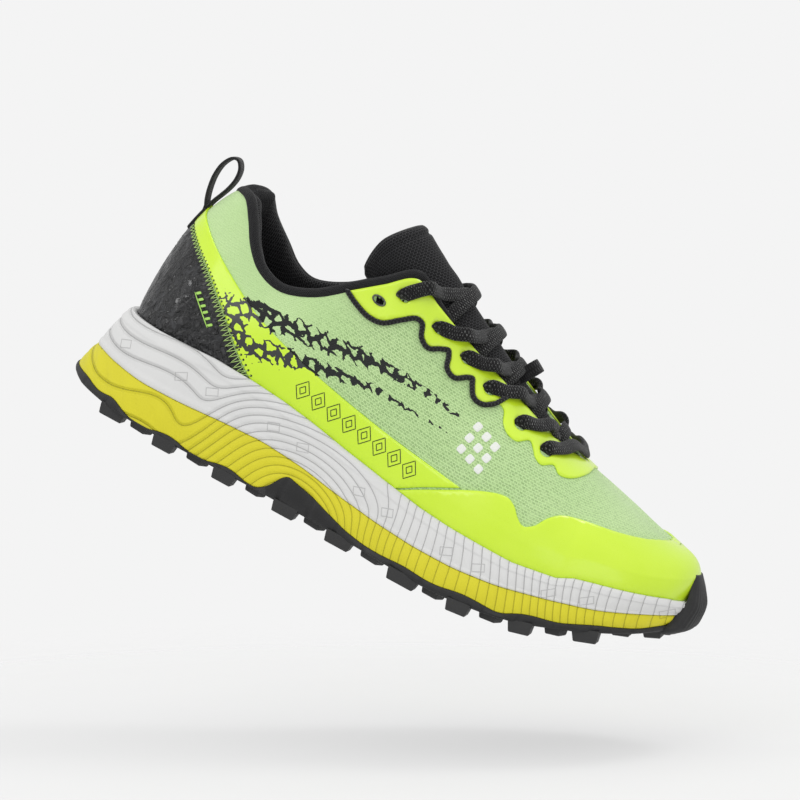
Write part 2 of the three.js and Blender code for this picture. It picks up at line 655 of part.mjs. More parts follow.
function buildSlotRims() {
  for (const [side, name] of [[-1, 'slot_rim_lateral'], [1, 'slot_rim_medial']]) {
    const { s, t } = locate(side, HOLES[0][0], HOLES[0][1]);
    const n = skinNormal(side, s, t);
    const run = skin(side, s + 0.2, t).sub(skin(side, s - 0.2, t)).normalize();
    const oval = (rx, ry) => new THREE.EllipseCurve(0, 0, rx, ry).getPoints(12);
    const shape = new THREE.Shape(oval(3.4, 2.0));
    shape.holes.push(new THREE.Path(oval(2.3, 1.0)));
    const g = new THREE.ExtrudeGeometry(shape, { depth: 0.5, bevelEnabled: false, curveSegments: 12 });
    const third = n.clone().cross(run).normalize();
    g.applyMatrix4(new THREE.Matrix4().makeBasis(third.clone().cross(n).normalize(), third, n));
    const p = offsetSkin(side, s, t, OVERLAY + 2 * GAP + 0.25);
    g.translate(p.x, p.y, p.z);
    add(name, solidFrom(g), 'rim');
  }
}

// ---------------------------------------------------------------- tongue
// Rows of five points across the tongue's outer face, from its free end to its sewn toe end.
const TONGUE_ROWS = [
  [[99, -24.5, 112], [105, -20, 126], [112, 1, 136], [105, 20.5, 127], [99, 24, 113]],
  [[106, -20, 104], [114, -19, 118], [123, 1, 129.5], [114, 20, 119.5], [106, 19.5, 105]],
  [[118, -19, 98.5], [127, -16.5, 111], [136, 1.5, 122.5], [127, 19.5, 112], [118, 20.5, 99.5]],
  [[139, -18.5, 94], [144, -16.5, 104], [150, 2, 114], [144, 20, 105], [139, 22, 95]],
  [[157, -18.5, 87], [161, -15.5, 97], [166, 2.5, 105], [161, 20, 98], [157, 22.5, 88]],
  [[175, -17, 80], [178, -13.5, 89], [182, 3, 96], [178, 18.5, 89.8], [175, 21, 81]],
  [[195, -14, 74], [197, -10.5, 81], [199, 3.5, 87.2], [197, 17, 81.5], [195, 20, 75]],
  [[212, -9, 70], [213, -6, 74], [214, 3.5, 78.2], [213, 12.5, 74.5], [212, 16, 70.5]],
  [[226, -4, 67], [226, -2, 68.8], [226, 3.5, 70.8], [226, 9, 69], [226, 11, 67]],
];
const TONGUE_HINGE_ROW = 2;

function tonguePoint(row, u) {
  const acrossRow = (list) => new THREE.CatmullRomCurve3(list.map(vec)).getPoint(u);
  return acrossRow(TONGUE_ROWS[row]);
}

// Outer-face point at a fractional row r (0 at the free end) and u from 0 to 1 across.
function tongueSkin(r, u) {
  const column = TONGUE_ROWS.map((_, row) => tonguePoint(row, u));
  return new THREE.CatmullRomCurve3(column).getPoint(r / (TONGUE_ROWS.length - 1));
}

function tongueNormal(r, u) {
  const e = 0.02;
  const last = TONGUE_ROWS.length - 1;
  const dr = tongueSkin(Math.min(r + e, last), u).sub(tongueSkin(Math.max(r - e, 0), u));
  const du = tongueSkin(r, Math.min(u + e, 1)).sub(tongueSkin(r, Math.max(u - e, 0)));
  return dr.cross(du).normalize();
}

function tongueBody(rows, thickness) {
  const us = [0, 0.12, 0.25, 0.37, 0.5, 0.63, 0.75, 0.88, 1];
  const edge = (u) => 0.45 + 0.55 * Math.sin(Math.PI * THREE.MathUtils.clamp(u, 0.04, 0.96)) ** 0.5;
  const outer = rows.map((r) => us.map((u) => tongueSkin(r, u)));
  const inner = rows.map((r) => us.map((u) => tongueSkin(r, u)
    .addScaledVector(tongueNormal(r, u), -thickness(r) * edge(u))));
  return sheetBody(outer, inner);
}

function buildTongue() {
  const { base, top } = TONGUE;
  const thick = (r) => THREE.MathUtils.lerp(top, base, THREE.MathUtils.smoothstep(r, 1.2, 3));
  const seam = 0.03;
  const free = [0, 0.5, 1, 1.5, TONGUE_HINGE_ROW - seam];
  add('tongue_top', tongueBody(free, (r) => thick(r) * (r === 0 ? 0.6 : 1)), 'lining');
  const sewn = [TONGUE_HINGE_ROW + seam, 2.5, 3, 4, 5, 6, 7, 8];
  add('tongue_base', tongueBody(sewn, thick), 'lining');
}

// ---------------------------------------------------------------- lace
const LACE_OVER = OVERLAY + GAP + 0.5 + LACE.thick / 2;   // centre of a strand on the film
const LACE_UNDER = MESH + 0.5 + LACE.thick / 2;           // centre of a strand under the knit
const CROSSING_LIFT = LACE.thick + 0.6;                   // how far the upper strand clears the lower
const ARRIVE = 0.3;                                       // ribs in front of its hole, strand going in
const LEAVE = 0.4;                                        // ribs behind its hole, strand coming out
const TAIL = [
  [[127, -23.5, 99.5], [137, -25, 92], [149, -26, 84.5], [163, -27, 76.5], [178, -27, 69],
    [192, -25, 62], [204, -22, 56.5]],
  [[127, 23.5, 99.5], [137, 25.5, 92], [149, 27.5, 84.5], [163, 29, 76.5], [178, 29, 69],
    [192, 27, 62], [204, 24, 56.5]],
];
const AGLET = { length: 20, radius: 1.6 };

// Fractional row of the tongue whose shoulder is at x.
function tongueRowAt(x) {
  const last = TONGUE_ROWS.length - 1;
  for (let r = 1; r < last; r += 0.05) {
    if (tongueSkin(r, 0.25).x >= x) return r;
  }
  return last;
}

function onTongue(x, u, lift, sign) {
  const r = tongueRowAt(x);
  const n = tongueNormal(r, u);
  const p = tongueSkin(r, u).addScaledVector(n, LACE.thick / 2 + 0.45);
  return [p.addScaledVector(tongueNormal(r, 0.5), lift), n.multiplyScalar(sign)];
}

const edgeX = (side, s) => skin(side, s, 1).x;
const shoulder = (side, u) => (side < 0 ? u : 1 - u);

// The strand on the film, into its hole and back under the knit to the throat edge.
function throughHole(side, row, sign) {
  const { s, t } = locate(side, HOLES[row][0], HOLES[row][1]);
  const n = skinNormal(side, s, t);
  const down = skin(side, s, t - 0.05).sub(skin(side, s, t + 0.05)).normalize();
  const at = (ds, level, distance) => offsetSkin(side, s + ds, t + (1 - t) * level, distance);
  const beside = (out, lower) => skin(side, s, t).addScaledVector(n, out).addScaledVector(down, lower);
  const high = row >= 4 ? 2 : 2.6;   // the top strands climb a steeper edge
  return [
    [at(ARRIVE, 1, LACE_OVER + high), n.clone().multiplyScalar(sign)],
    [at(ARRIVE * 0.6, 0.5, LACE_OVER + 0.4), n.clone().multiplyScalar(sign)],
    [beside(2.5, 0.1), n.clone().add(down).multiplyScalar(sign)],
    [beside(-0.7, 0.6), down.clone().multiplyScalar(sign)],
    [at(-LEAVE * 0.3, 0.1, -LACE_UNDER - 0.9), n.clone().addScaledVector(down, -0.6).multiplyScalar(-sign)],
    [at(-LEAVE * 0.7, 0.5, -LACE_UNDER - 0.2), n.clone().multiplyScalar(-sign)],
    [at(-LEAVE, 0.9, -LACE_UNDER), n.clone().multiplyScalar(-sign)],
  ];
}

// Half of the lace, from the middle of the front bar to its end inside the shoe.
function halfLace(firstSide) {
  const rowCount = HOLES.length - 1;
  const barX = 217;
  let sign = 1;
  let side = firstSide;
  const route = [
    onTongue(barX, 0.5, 4.4, 1),
  ];
  for (let row = rowCount; row >= 1; row--) {
    const pass = throughHole(side, row, sign);
    sign = -sign;
    if (row === 1) {
      route.push(...pass.slice(0, 4));
      const { s, t } = locate(side, HOLES[1][0], HOLES[1][1]);
      const n = skinNormal(side, s, t);
      TAIL[side < 0 ? 0 : 1].forEach((p, i) => {
        const flat = new THREE.Vector3(0, side, 0).lerp(n, i === 0 ? 0.3 : 0).multiplyScalar(sign);
        route.push([vec(p), flat]);
      });
      break;
    }
    route.push(...pass);
    const here = locate(side, HOLES[row][0], HOLES[row][1]).s - LEAVE;
    const there = locate(-side, HOLES[row - 1][0], HOLES[row - 1][1]).s + ARRIVE;
    const x0 = edgeX(side, here);
    const x1 = edgeX(-side, there);
    const over = (row % 2 === 0) === (firstSide < 0) ? CROSSING_LIFT : 0;
    const width = (f) => shoulder(side, THREE.MathUtils.lerp(0.2, 0.8, f));
    const lifts = [[0.06, 0], [0.28, over * 0.7], [0.5, over], [0.72, over * 0.7 + 1.3], [0.88, 4.9]];
    for (const [f, lift] of lifts) {
      route.push(onTongue(x0 + (x1 - x0) * f, width(f), lift, sign));
    }
    side = -side;
  }
  return route;
}

function buildLace() {
  const route = [...halfLace(-1).slice(1).reverse(), ...halfLace(1)];
  const path = route.map(([p]) => p);
  const thin = route.map(([, n]) => n);
  add('shoe_lace', sweptOval(path, thin, LACE.width / 2, LACE.thick / 2, 6), 'lace');
  for (const [side, name] of [[-1, 'aglet_lateral'], [1, 'aglet_medial']]) {
    const tail = TAIL[side < 0 ? 0 : 1].map(vec);
    const run = tail[6].clone().sub(tail[5]).normalize();
    const start = tail[6].clone().addScaledVector(run, GAP);
    const end = start.clone().addScaledVector(run, AGLET.length);
    const thin = new THREE.Vector3(0, 1, 0);
    add(name, sweptOval([start, end], [thin, thin], AGLET.radius, AGLET.radius, 10), 'plastic');
  }
}

// ---------------------------------------------------------------- small sewn pieces
// Webbing arch across the tongue that keeps the bow; its feet are sewn between two crossings.
const KEEPER = { foot: [181.4, 3, 97.4], across: 4.4, height: 10, thick: 1.2, width: 7, tilt: 0.55 };
function buildKeeper() {
  const { foot, across, height, thick, width, tilt } = KEEPER;
  const arch = (half, rise) => {
    const p = new THREE.Path();
    p.moveTo(-half, 0);
    p.lineTo(-half, rise - half * 0.5);
    p.quadraticCurveTo(-half, rise, -half * 0.4, rise);
    p.lineTo(half * 0.4, rise);
    p.quadraticCurveTo(half, rise, half, rise - half * 0.5);
    p.lineTo(half, 0);
    return p.getPoints(4);
  };
  const outline = [...arch(across, height), ...arch(across - thick, height - thick).reverse()];
  const g = new THREE.ExtrudeGeometry(new THREE.Shape(outline), { depth: width, bevelEnabled: false });
  g.translate(0, 0, -width / 2);
  g.rotateX(Math.PI / 2);
  g.rotateZ(Math.PI / 2);
  g.rotateY(tilt);
  g.translate(...foot);
  add('lace_keeper', solidFrom(g), 'webbing');
}

// Side view of the pull loop's middle line, both ends at its sewn root.
const LOOP_PATH = [
  [22.4, 98.2], [21.3, 101], [20.2, 106], [19.8, 112], [20.9, 118], [23.8, 122.2], [26.6, 122.6],
  [28.9, 119.6], [29.4, 115], [28.3, 110], [26.4, 105.5], [24.5, 101.5], [23.4, 98.4],
];
function buildPullLoop() {
  const curve = new THREE.CatmullRomCurve3(LOOP_PATH.map(([x, z]) => new THREE.Vector3(x, 0, z)), true);
  const edge = (out) => Array.from({ length: 36 }, (_, i) => {
    const p = curve.getPointAt(i / 36);
    const run = curve.getTangentAt(i / 36);
    return [p.x - run.z * out, p.z + run.x * out];
  });
  const half = LOOP.thick / 2;
  const wide = LOOP.width / 2;
  const ring = prism(edge(half), -wide, wide).subtract(prism(edge(-half), -wide - 1, wide + 1));
  add('pull_loop', ring, 'webbing');
  const columns = [[-1, 0.42], [-1, 0.2], [-1, 0], [1, 0.2], [1, 0.42]];
  const heights = [0.56, 0.6, 0.65, 0.69];
  const place = (d) => columns.map(([side, s]) => heights.map((t) => offsetSkin(side, s, t, d)));
  const on = OVERLAY + 2 * GAP + 0.05;
  add('pull_loop_tape', sheetBody(place(on + LOOP.thick), place(on)), 'webbing');
}

// ---------------------------------------------------------------- assembly
buildOutsole();
buildMidsoles();
buildFloor();
buildStiffeners();
buildCollar();
buildBinding();
buildUpper();
buildPiping();
buildSlotRims();
buildTongue();
buildLace();
buildKeeper();
buildPullLoop();

// The origin becomes the middle of the footprint, on the ground.
const box = new THREE.Box3().setFromObject(shoe);
shoe.position.set(-(box.min.x + box.max.x) / 2, -(box.min.y + box.max.y) / 2, -box.min.z);

export default shoe;
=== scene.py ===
"""Looks of a trail running shoe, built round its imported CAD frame. Blender 4.5.

Shapes are worked out in millimetres in the part's work frame: x from the heel to the toe, y lateral (-) to
medial (+), z up. place() turns them into the row frame, in metres.
"""
import json
import math

import bmesh
import bpy
import numpy as np
from mathutils import Matrix, Vector
from mathutils.geometry import delaunay_2d_cdt
from mathutils.kdtree import KDTree

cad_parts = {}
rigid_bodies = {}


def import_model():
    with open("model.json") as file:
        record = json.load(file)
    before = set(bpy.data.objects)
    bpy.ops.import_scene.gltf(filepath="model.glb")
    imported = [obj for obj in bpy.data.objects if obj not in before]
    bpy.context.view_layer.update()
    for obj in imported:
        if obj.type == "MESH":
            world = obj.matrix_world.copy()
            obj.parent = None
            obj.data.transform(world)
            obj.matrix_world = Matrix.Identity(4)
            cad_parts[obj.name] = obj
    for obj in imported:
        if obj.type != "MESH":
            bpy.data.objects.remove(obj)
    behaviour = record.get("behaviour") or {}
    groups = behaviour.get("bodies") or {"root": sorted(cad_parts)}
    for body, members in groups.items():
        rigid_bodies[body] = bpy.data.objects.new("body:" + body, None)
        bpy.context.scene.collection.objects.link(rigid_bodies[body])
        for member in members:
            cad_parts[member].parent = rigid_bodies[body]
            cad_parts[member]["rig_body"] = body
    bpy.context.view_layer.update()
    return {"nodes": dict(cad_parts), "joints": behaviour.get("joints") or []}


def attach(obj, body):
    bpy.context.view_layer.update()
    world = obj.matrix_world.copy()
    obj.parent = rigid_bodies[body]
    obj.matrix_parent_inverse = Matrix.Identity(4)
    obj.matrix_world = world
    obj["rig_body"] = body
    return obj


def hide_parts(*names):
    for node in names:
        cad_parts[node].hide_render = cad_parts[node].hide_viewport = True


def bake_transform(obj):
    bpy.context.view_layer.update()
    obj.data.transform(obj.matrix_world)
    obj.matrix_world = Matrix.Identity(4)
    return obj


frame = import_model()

scene = bpy.context.scene
scene.view_settings.view_transform = "Standard"

# The tongue's hinge ties the row frame to the work frame.
TONGUE_HINGE = np.array([136.3, 1.5, 122.9])
fold = next(j for j in frame["joints"] if j["name"] == "tongue_fold")
SHIFT = np.array(fold["pos_m"]) * 1000 - TONGUE_HINGE


def place(points):
    """Work-frame millimetres to row-frame metres."""
    return (np.asarray(points, float) + SHIFT) / 1000


# ------------------------------------------------------------------ the shoe's surface, as in the CAD part
BITE = [
    (17, 43), (25, 43.3), (35, 43.8), (45, 44.6), (65, 45.8), (85, 45), (100, 43.6), (115, 41.5), (135, 38),
    (155, 35.2), (175, 32.8), (190, 32), (221, 31.8), (240, 34.3), (247, 37.6), (255, 39.3), (275, 43),
    (283, 44.5), (292, 45),
]
FOAM_SEAM = [
    (5, 21.5), (12, 23), (20, 22.3), (40, 21.2), (60, 22), (80, 23.5), (100, 24.3), (120, 22.8),
    (140, 19.8), (160, 18), (180, 17.3), (200, 18), (220, 20.3), (240, 24.4), (262, 29.5), (280, 35.5),
    (293, 39.5),
]
RUBBER_TOP = [
    (1, 10.5), (15, 10), (20, 8.4), (30, 8.2), (38, 6), (107, 6), (111, 8), (116, 17), (120, 16), (130, 14),
    (140, 11), (150, 8.3), (160, 7), (180, 7.5), (200, 8.8), (218, 10.8), (227, 11), (234, 13.8),
    (251, 18.5), (266, 24), (280, 28.5), (293, 35.5),
]
SHEET_BOTTOM = [
    (1, 8.5), (5, 6.5), (12, 5.2), (22, 4.6), (32, 4), (170, 4), (190, 4.1), (200, 4.6), (220, 6.8),
    (232, 9), (243, 12), (255, 16), (270, 21.5), (279, 25), (290, 30), (298, 34),
]
# Bite point of each side, top point of each side, and the four numbers that shape each rib.
RIBS = [
    [(17.5, 0), (17.5, 0), (32, 0, 110.5), (32, 0, 110.5), (0.40, 5.3, 0.22, 8.8)],
    [(19.5, -12), (19.5, 12), (34.5, -8, 111.5), (35, 9, 113), (0.40, 5, 0.22, 7.5)],
    [(26, -22), (26, 21.5), (41, -16, 110), (41, 16.5, 112.5), (0.39, 4, 0.25, 5.5)],
    [(38, -30.5), (38, 28.5), (48, -21.5, 102.5), (47, 21.5, 104), (0.38, 3, 0.30, 4)],
    [(52, -34.5), (52, 31.5), (55, -25.5, 93.5), (56, 26, 95.5), (0.36, 2, 0.33, 3)],
    [(68, -36.2), (68, 33), (64, -28.5, 86.5), (65, 29, 88), (0.35, 1.5, 0.33, 3)],
    [(86, -36.5), (86, 33), (76, -30, 84), (76, 30, 85.5), (0.35, 1.5, 0.33, 4)],
    [(103, -36.5), (103, 32), (90, -29.5, 89), (90, 29.5, 91), (0.35, 1.5, 0.33, 4)],
    [(118, -37), (118, 32), (103, -28, 99), (103, 28, 101), (0.35, 1.5, 0.33, 4)],
    [(132, -38), (132, 33.5), (114, -26, 107.5), (114, 26.5, 109.5), (0.35, 1.5, 0.33, 5)],
    [(145, -39.5), (145, 36), (125.5, -23.5, 116), (124, 25, 115.5), (0.35, 1.5, 0.33, 7)],
    [(158, -42), (158, 38.5), (138, -21.5, 110), (138, 24.5, 111.5), (0.37, 1.2, 0.30, 9)],
    [(172, -45), (172, 41.5), (154, -19.5, 102.8), (154, 23.5, 104), (0.39, 1, 0.27, 12)],
    [(186, -48), (186, 44), (170, -17.5, 96.2), (170, 22.5, 97.5), (0.41, 1, 0.24, 15)],
    [(200, -50.3), (200, 46), (186, -15.5, 90), (186, 21, 91), (0.42, 1, 0.18, 18)],
    [(213, -51), (213, 47), (201, -12, 83.8), (201, 18.5, 84.5), (0.45, 1, 0.12, 21)],
    [(225, -50), (225, 47), (214, -7, 79), (214, 14, 79.5), (0.48, 1, 0.07, 24)],
    [(236, -48), (237, 46.5), (225, 3, 76.5), (225, 3, 76.5), (0.50, 1, 0.02, 28)],
    [(247, -45.5), (249, 44.5), (236, 3.5, 73.2), (236, 3.5, 73.2), (0.50, 1, 0, 27)],
    [(258, -41.5), (260, 41.5), (247, 4, 70), (247, 4, 70), (0.50, 1, 0, 26)],
    [(268, -36), (270, 37.5), (257, 4.5, 67), (257, 4.5, 67), (0.50, 1, 0, 23)],
    [(277, -28), (279, 32), (265, 5, 64.8), (265, 5, 64.8), (0.52, 0.5, 0, 20)],
    [(284.5, -18), (286, 24), (271, 5.3, 63.6), (271, 5.3, 63.6), (0.55, 0.5, 0, 16)],
    [(289.5, -6), (290.3, 16), (274.5, 5.6, 63.1), (274.5, 5.6, 63.1), (0.60, 0.3, 0, 13)],
    [(291.5, 6), (291.5, 6), (276.5, 6, 63), (276.5, 6, 63), (0.60, 0.3, 0, 11)],
]
LAST = len(RIBS) - 1
THROAT_END = 17                      # rib where the throat closes into the ridge
HEM, HEM_SPREAD = 5.0, 0.4           # drop of the lasting hem under the bite line, and its lean


def unit(v):
    """Vectors scaled to length 1."""
    return v / np.maximum(np.linalg.norm(v, axis=-1, keepdims=True), 1e-9)


def heading(path):
    """Direction of travel at every point of a path."""
    return unit(np.gradient(path, axis=0))


def loop_heading(path):
    """Direction of travel at every point of a closed path."""
    return unit(np.roll(path, -1, 0) - np.roll(path, 1, 0))


def run_along(path):
    """Distance travelled at every point of a path."""
    return np.r_[0, np.cumsum(np.linalg.norm(np.diff(path, axis=0), axis=1))]


def along(table, x):
    xs, vs = zip(*table)
    return np.interp(x, xs, vs)


def rounded(table, x, width=7.0):
    """The same line with its corners rounded over about width millimetres."""
    steps = np.linspace(-width, width, 9)
    return sum(along(table, np.asarray(x) + d) for d in steps) / len(steps)


def side_table(side):
    """One side's ribs as rows: bite x, y; top x, y, z; the four shape numbers."""
    pick = (0, 2) if side < 0 else (1, 3)
    rows = [[*r[pick[0]], *r[pick[1]], *r[4]] for r in RIBS]
    return np.array(rows, float)


def extended(side):
    """The side's rows with a row of the other side before the heel and after the toe."""
    own, other = side_table(side), side_table(-side)
    return np.vstack([other[1], own, other[LAST - 1]])


TABLES = {side: extended(side) for side in (-1, 1)}


def rib_numbers(side, s):
    """A side's rib numbers at share s between its ribs, on a Catmull-Rom curve."""
    i = np.clip(np.floor(s).astype(int), 0, LAST - 1)
    f = (s - i)[..., None]
    a, b, c, d = (TABLES[side][i + k] for k in range(4))
    return 0.5 * (2 * b + (c - a) * f + (2 * a - 5 * b + 4 * c - d) * f**2 + (3 * b - a - 3 * c + d) * f**3)


def split(sigma):
    """Signed rib number (lateral negative) to side and rib, carried on past the heel and the toe."""
    sigma = np.asarray(sigma, float)
    sigma = np.where(sigma > LAST, sigma - 2 * LAST, np.where(sigma < -LAST, sigma + 2 * LAST, sigma))
    return np.where(sigma < 0, -1, 1), np.abs(sigma)


def rib(sigma):
    """Bite point, handles, top point and outward direction of each rib."""
    side, s = split(sigma)
    e = 1e-3
    r, behind, ahead = (np.where((side < 0)[..., None], rib_numbers(-1, q), rib_numbers(1, q))
                        for q in (s, np.clip(s - e, 0, LAST), np.clip(s + e, 0, LAST)))
    dx, dy = ahead[..., 0] - behind[..., 0], ahead[..., 1] - behind[..., 1]
    n = np.stack([dy, -dx, np.zeros_like(dx)], -1) * -side[..., None]
    n = np.where((s < e)[..., None], [-1.0, 0, 0], n)
    n = np.where((s > LAST - e)[..., None], [1.0, 0, 0], n)
    n = unit(n)
    bite = np.stack([r[..., 0], r[..., 1], along(BITE, r[..., 0])], -1)
    top = r[..., 2:5]
    rise = top - bite
    lean = np.minimum(1, r[..., 7] / 0.25)
    flat = np.zeros_like(lean)
    low = bite + np.stack([r[..., 5] * lean * rise[..., 0], flat, r[..., 5] * rise[..., 2]], -1)
    low = low + n * r[..., 6:7]
    high = top - np.stack([r[..., 7] * rise[..., 0], flat, r[..., 7] * rise[..., 2]], -1) + n * r[..., 8:9]
    return bite, low, high, top, n


def skin(sigma, t):
    """Outer face of the upper: t is 0 at the bite line, 1 at the top and -1 at the hem's edge."""
    sigma, t = np.broadcast_arrays(np.asarray(sigma, float), np.asarray(t, float))
    bite, low, high, top, n = rib(sigma)
    q, u = (1 - t)[..., None], t[..., None]
    curve = bite * q**3 + low * 3 * q**2 * u + high * 3 * q * u**2 + top * u**3
    hem = bite + n * HEM_SPREAD * u + np.array([0, 0, HEM]) * u
    return np.where(u < 0, hem, curve)


def one_normal(sigma, t):
    """Outward direction, worked out on the point's own half of the shoe."""
    e = 0.02
    tc = np.clip(t, 0, 1)
    ds = skin(sigma + e, tc) - skin(sigma - e, tc)
    dt = skin(sigma, np.clip(tc + e, 0, 1)) - skin(sigma, np.clip(tc - e, 0, 1))
    return unit(np.cross(dt, ds))


def normal(sigma, t):
    """Outward direction; both halves share one along the ridge in front of the throat."""
    sigma, t = np.broadcast_arrays(np.asarray(sigma, float), np.asarray(t, float))
    n = one_normal(sigma, t)
    ridge = (t > 0.999) & (np.abs(sigma) >= THROAT_END - 1e-6)
    both = unit(n + one_normal(-sigma, t))
    return np.where(ridge[..., None], both, n)


def off_skin(sigma, t, distance):
    """Points this far outside the skin, or inside it where the distance is negative."""
    return skin(sigma, t) + normal(sigma, t) * np.asarray(distance, float)[..., None]


# A dense net of the surface, for the place that shows at (x, z) from the side.
NET_S, NET_T = np.meshgrid(np.linspace(0, LAST, 481), np.linspace(0, 1, 121), indexing="ij")
NET = {side: skin(side * np.maximum(NET_S, 1e-6), NET_T)[..., (0, 2)].reshape(-1, 2) for side in (-1, 1)}


def tree_of(places):
    tree = KDTree(len(places))
    for i, (px, pz) in enumerate(places):
        tree.insert((px, pz, 0), i)
    tree.balance()
    return tree


NET_TREE = {side: tree_of(NET[side]) for side in (-1, 1)}


def locate(side, x, z):
    """Skin positions (sigma, t) whose side view is at (x, z)."""
    goal = np.stack([np.atleast_1d(x), np.atleast_1d(z)], 1).astype(float)
    first = np.array([NET_TREE[side].find((px, pz, 0))[1] for px, pz in goal])
    s, t = NET_S.ravel()[first].copy(), NET_T.ravel()[first].copy()
    e = 1e-3
    for _ in range(5):
        at = side * np.maximum(s, 1e-6)
        base = skin(at, t)[:, (0, 2)]
        js = (skin(side * np.minimum(s + e, LAST), t)[:, (0, 2)] - base) / e
        jt = (base - skin(at, t - e)[:, (0, 2)]) / e
        miss = goal - base
        det = js[:, 0] * jt[:, 1] - js[:, 1] * jt[:, 0]
        sure = np.abs(det) > 1e-2 * np.linalg.norm(js, axis=1) * np.linalg.norm(jt, axis=1) + 1e-9
        det = np.where(sure, det, 1.0)
        ds = (miss[:, 0] * jt[:, 1] - miss[:, 1] * jt[:, 0]) / det
        dt = (js[:, 0] * miss[:, 1] - js[:, 1] * miss[:, 0]) / det
        s = np.clip(s + np.where(sure, np.clip(ds, -0.15, 0.15), 0), 0, LAST)
        t = np.clip(t + np.where(sure, np.clip(dt, -0.03, 0.03), 0), 0, 1)
    return np.stack([side * s, t], 1)


def curve_through(points, u, closed=False):
    """Centripetal Catmull-Rom curve through points, at shares u of its spans."""
    p = np.asarray(points, float)
    n = len(p)
    spans = n if closed else n - 1
    x = np.clip(np.asarray(u, float), 0, 1) * spans
    i = np.minimum(x.astype(int), spans - 1)
    w = (x - i)[..., None]
    if closed:
        a, b, c, d = (p[(i + k) % n] for k in (-1, 0, 1, 2))
    else:
        wide = np.vstack([2 * p[0] - p[1], p, 2 * p[-1] - p[-2]])
        a, b, c, d = (wide[i + k] for k in range(4))
    g0, g1, g2 = (np.maximum(((q - r) ** 2).sum(-1, keepdims=True) ** 0.25, 1e-4)
                  for q, r in ((a, b), (b, c), (c, d)))
    m1 = ((b - a) / g0 - (c - a) / (g0 + g1) + (c - b) / g1) * g1
    m2 = ((c - b) / g1 - (d - b) / (g1 + g2) + (d - c) / g2) * g1
    return b + m1 * w + (3 * (c - b) - 2 * m1 - m2) * w**2 + (2 * (b - c) + m1 + m2) * w**3


def resampled(points, step, closed=False):
    """The curve through points, at even steps along it."""
    fine = curve_through(points, np.linspace(0, 1, 40 * len(points)), closed)
    run = run_along(fine)
    count = max(2, int(round(run[-1] / step)) + 1)
    at = np.linspace(0, run[-1], count)
    return np.stack([np.interp(at, run, fine[:, k]) for k in range(fine.shape[1])], 1)


# ------------------------------------------------------------------ meshes
WELD_FINE, WELD_FILM = 0.01, 0.03    # millimetres within which points are joined: soft pieces, films


def make(name, points, faces, body="shoe", smooth=True, weld=0.0, layers=(), split=()):
    """One named piece from work-frame points. layers are (name, values) kept on its vertices,
    or, for the names in split, on the faces' corners, so that welding leaves both sides' values."""
    mesh = bpy.data.meshes.new(name)
    mesh.from_pydata(place(points).tolist(), [], [list(map(int, f)) for f in faces])
    for key, values in layers:
        values = np.asarray(values, np.float32)
        kind = "FLOAT" if values.ndim == 1 else "FLOAT_VECTOR"
        if key in split:
            values = values[[c.vertex_index for c in mesh.loops]]
        data = mesh.attributes.new(key, kind, "CORNER" if key in split else "POINT").data
        data.foreach_set("value" if kind == "FLOAT" else "vector", values.ravel())
    bm = bmesh.new()
    bm.from_mesh(mesh)
    if weld:
        bmesh.ops.remove_doubles(bm, verts=bm.verts, dist=weld / 1000)
    bmesh.ops.dissolve_degenerate(bm, edges=bm.edges, dist=1e-7)
    bmesh.ops.recalc_face_normals(bm, faces=bm.faces)
    for f in bm.faces:
        f.smooth = smooth
    bm.to_mesh(mesh)
    bm.free()
    obj = bpy.data.objects.new(name, mesh)
    scene.collection.objects.link(obj)
    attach(obj, body)
    return obj


def finish_piece(obj, material, slot, *nodes):
    """Gives a piece its material, and hides the CAD nodes that it stands for. The slot is not used."""
    obj.data.materials.append(material)
    if nodes:
        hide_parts(*nodes)
    return obj


def grid_faces(cols, rows, wrap=False, start=0):
    """Four-sided faces of a net of points numbered column by column."""
    spans = cols if wrap else cols - 1
    i, k = np.meshgrid(np.arange(spans), np.arange(rows - 1), indexing="ij")
    j = (i + 1) % cols
    quads = np.stack([i * rows + k, j * rows + k, j * rows + k + 1, i * rows + k + 1], -1)
    return (quads.reshape(-1, 4) + start).tolist()


def closed_shell(outer, inner, wrap=False, rim_at=None):
    """Points and faces of a sheet with two faces and its rims. outer and inner are [column, row, 3].
    rim_at(i, j) says whether the top rim is closed between two columns; without it, it is everywhere."""
    cols, rows = outer.shape[:2]
    count = cols * rows
    points = np.vstack([outer.reshape(-1, 3), inner.reshape(-1, 3)])
    faces = grid_faces(cols, rows, wrap) + [f[::-1] for f in grid_faces(cols, rows, wrap, count)]
    for i in range(cols if wrap else cols - 1):
        j = (i + 1) % cols
        a, b = i * rows, j * rows
        faces.append([b, a, a + count, b + count])
        if rim_at is None or rim_at(i, j):
            a, b = a + rows - 1, b + rows - 1
            faces.append([a, b, b + count, a + count])
    if not wrap:
        for c, turn in ((0, 1), (cols - 1, -1)):
            for k in range(rows - 1):
                a = c * rows + k
                faces.append([a, a + 1, a + 1 + count, a + count][::turn])
    return points, faces


def ring_faces(rings, closed=False):
    """Points of rings [ring, place, 3], and the faces between each ring and the next."""
    count, sides = rings.shape[:2]
    faces = []
    for i in range(count if closed else count - 1):
        a, b = i * sides, ((i + 1) % count) * sides
        faces += [[a + k, a + (k + 1) % sides, b + (k + 1) % sides, b + k] for k in range(sides)]
    return rings.reshape(-1, 3), faces


def ring_stack(rings):
    """Closed solid from rings round the shoe, [ring, column, 3], capped straight across at both ends."""
    rings = np.asarray(rings)
    count, cols = rings.shape[:2]
    points, faces = ring_faces(rings)
    half = cols // 2
    for base, turn in ((0, -1), ((count - 1) * cols, 1)):
        for i in range(half):
            quad = [base + i, base + i + 1, base + (cols - i - 1) % cols, base + (cols - i) % cols]
            faces.append(list(dict.fromkeys(quad[::turn])))
    return points, faces


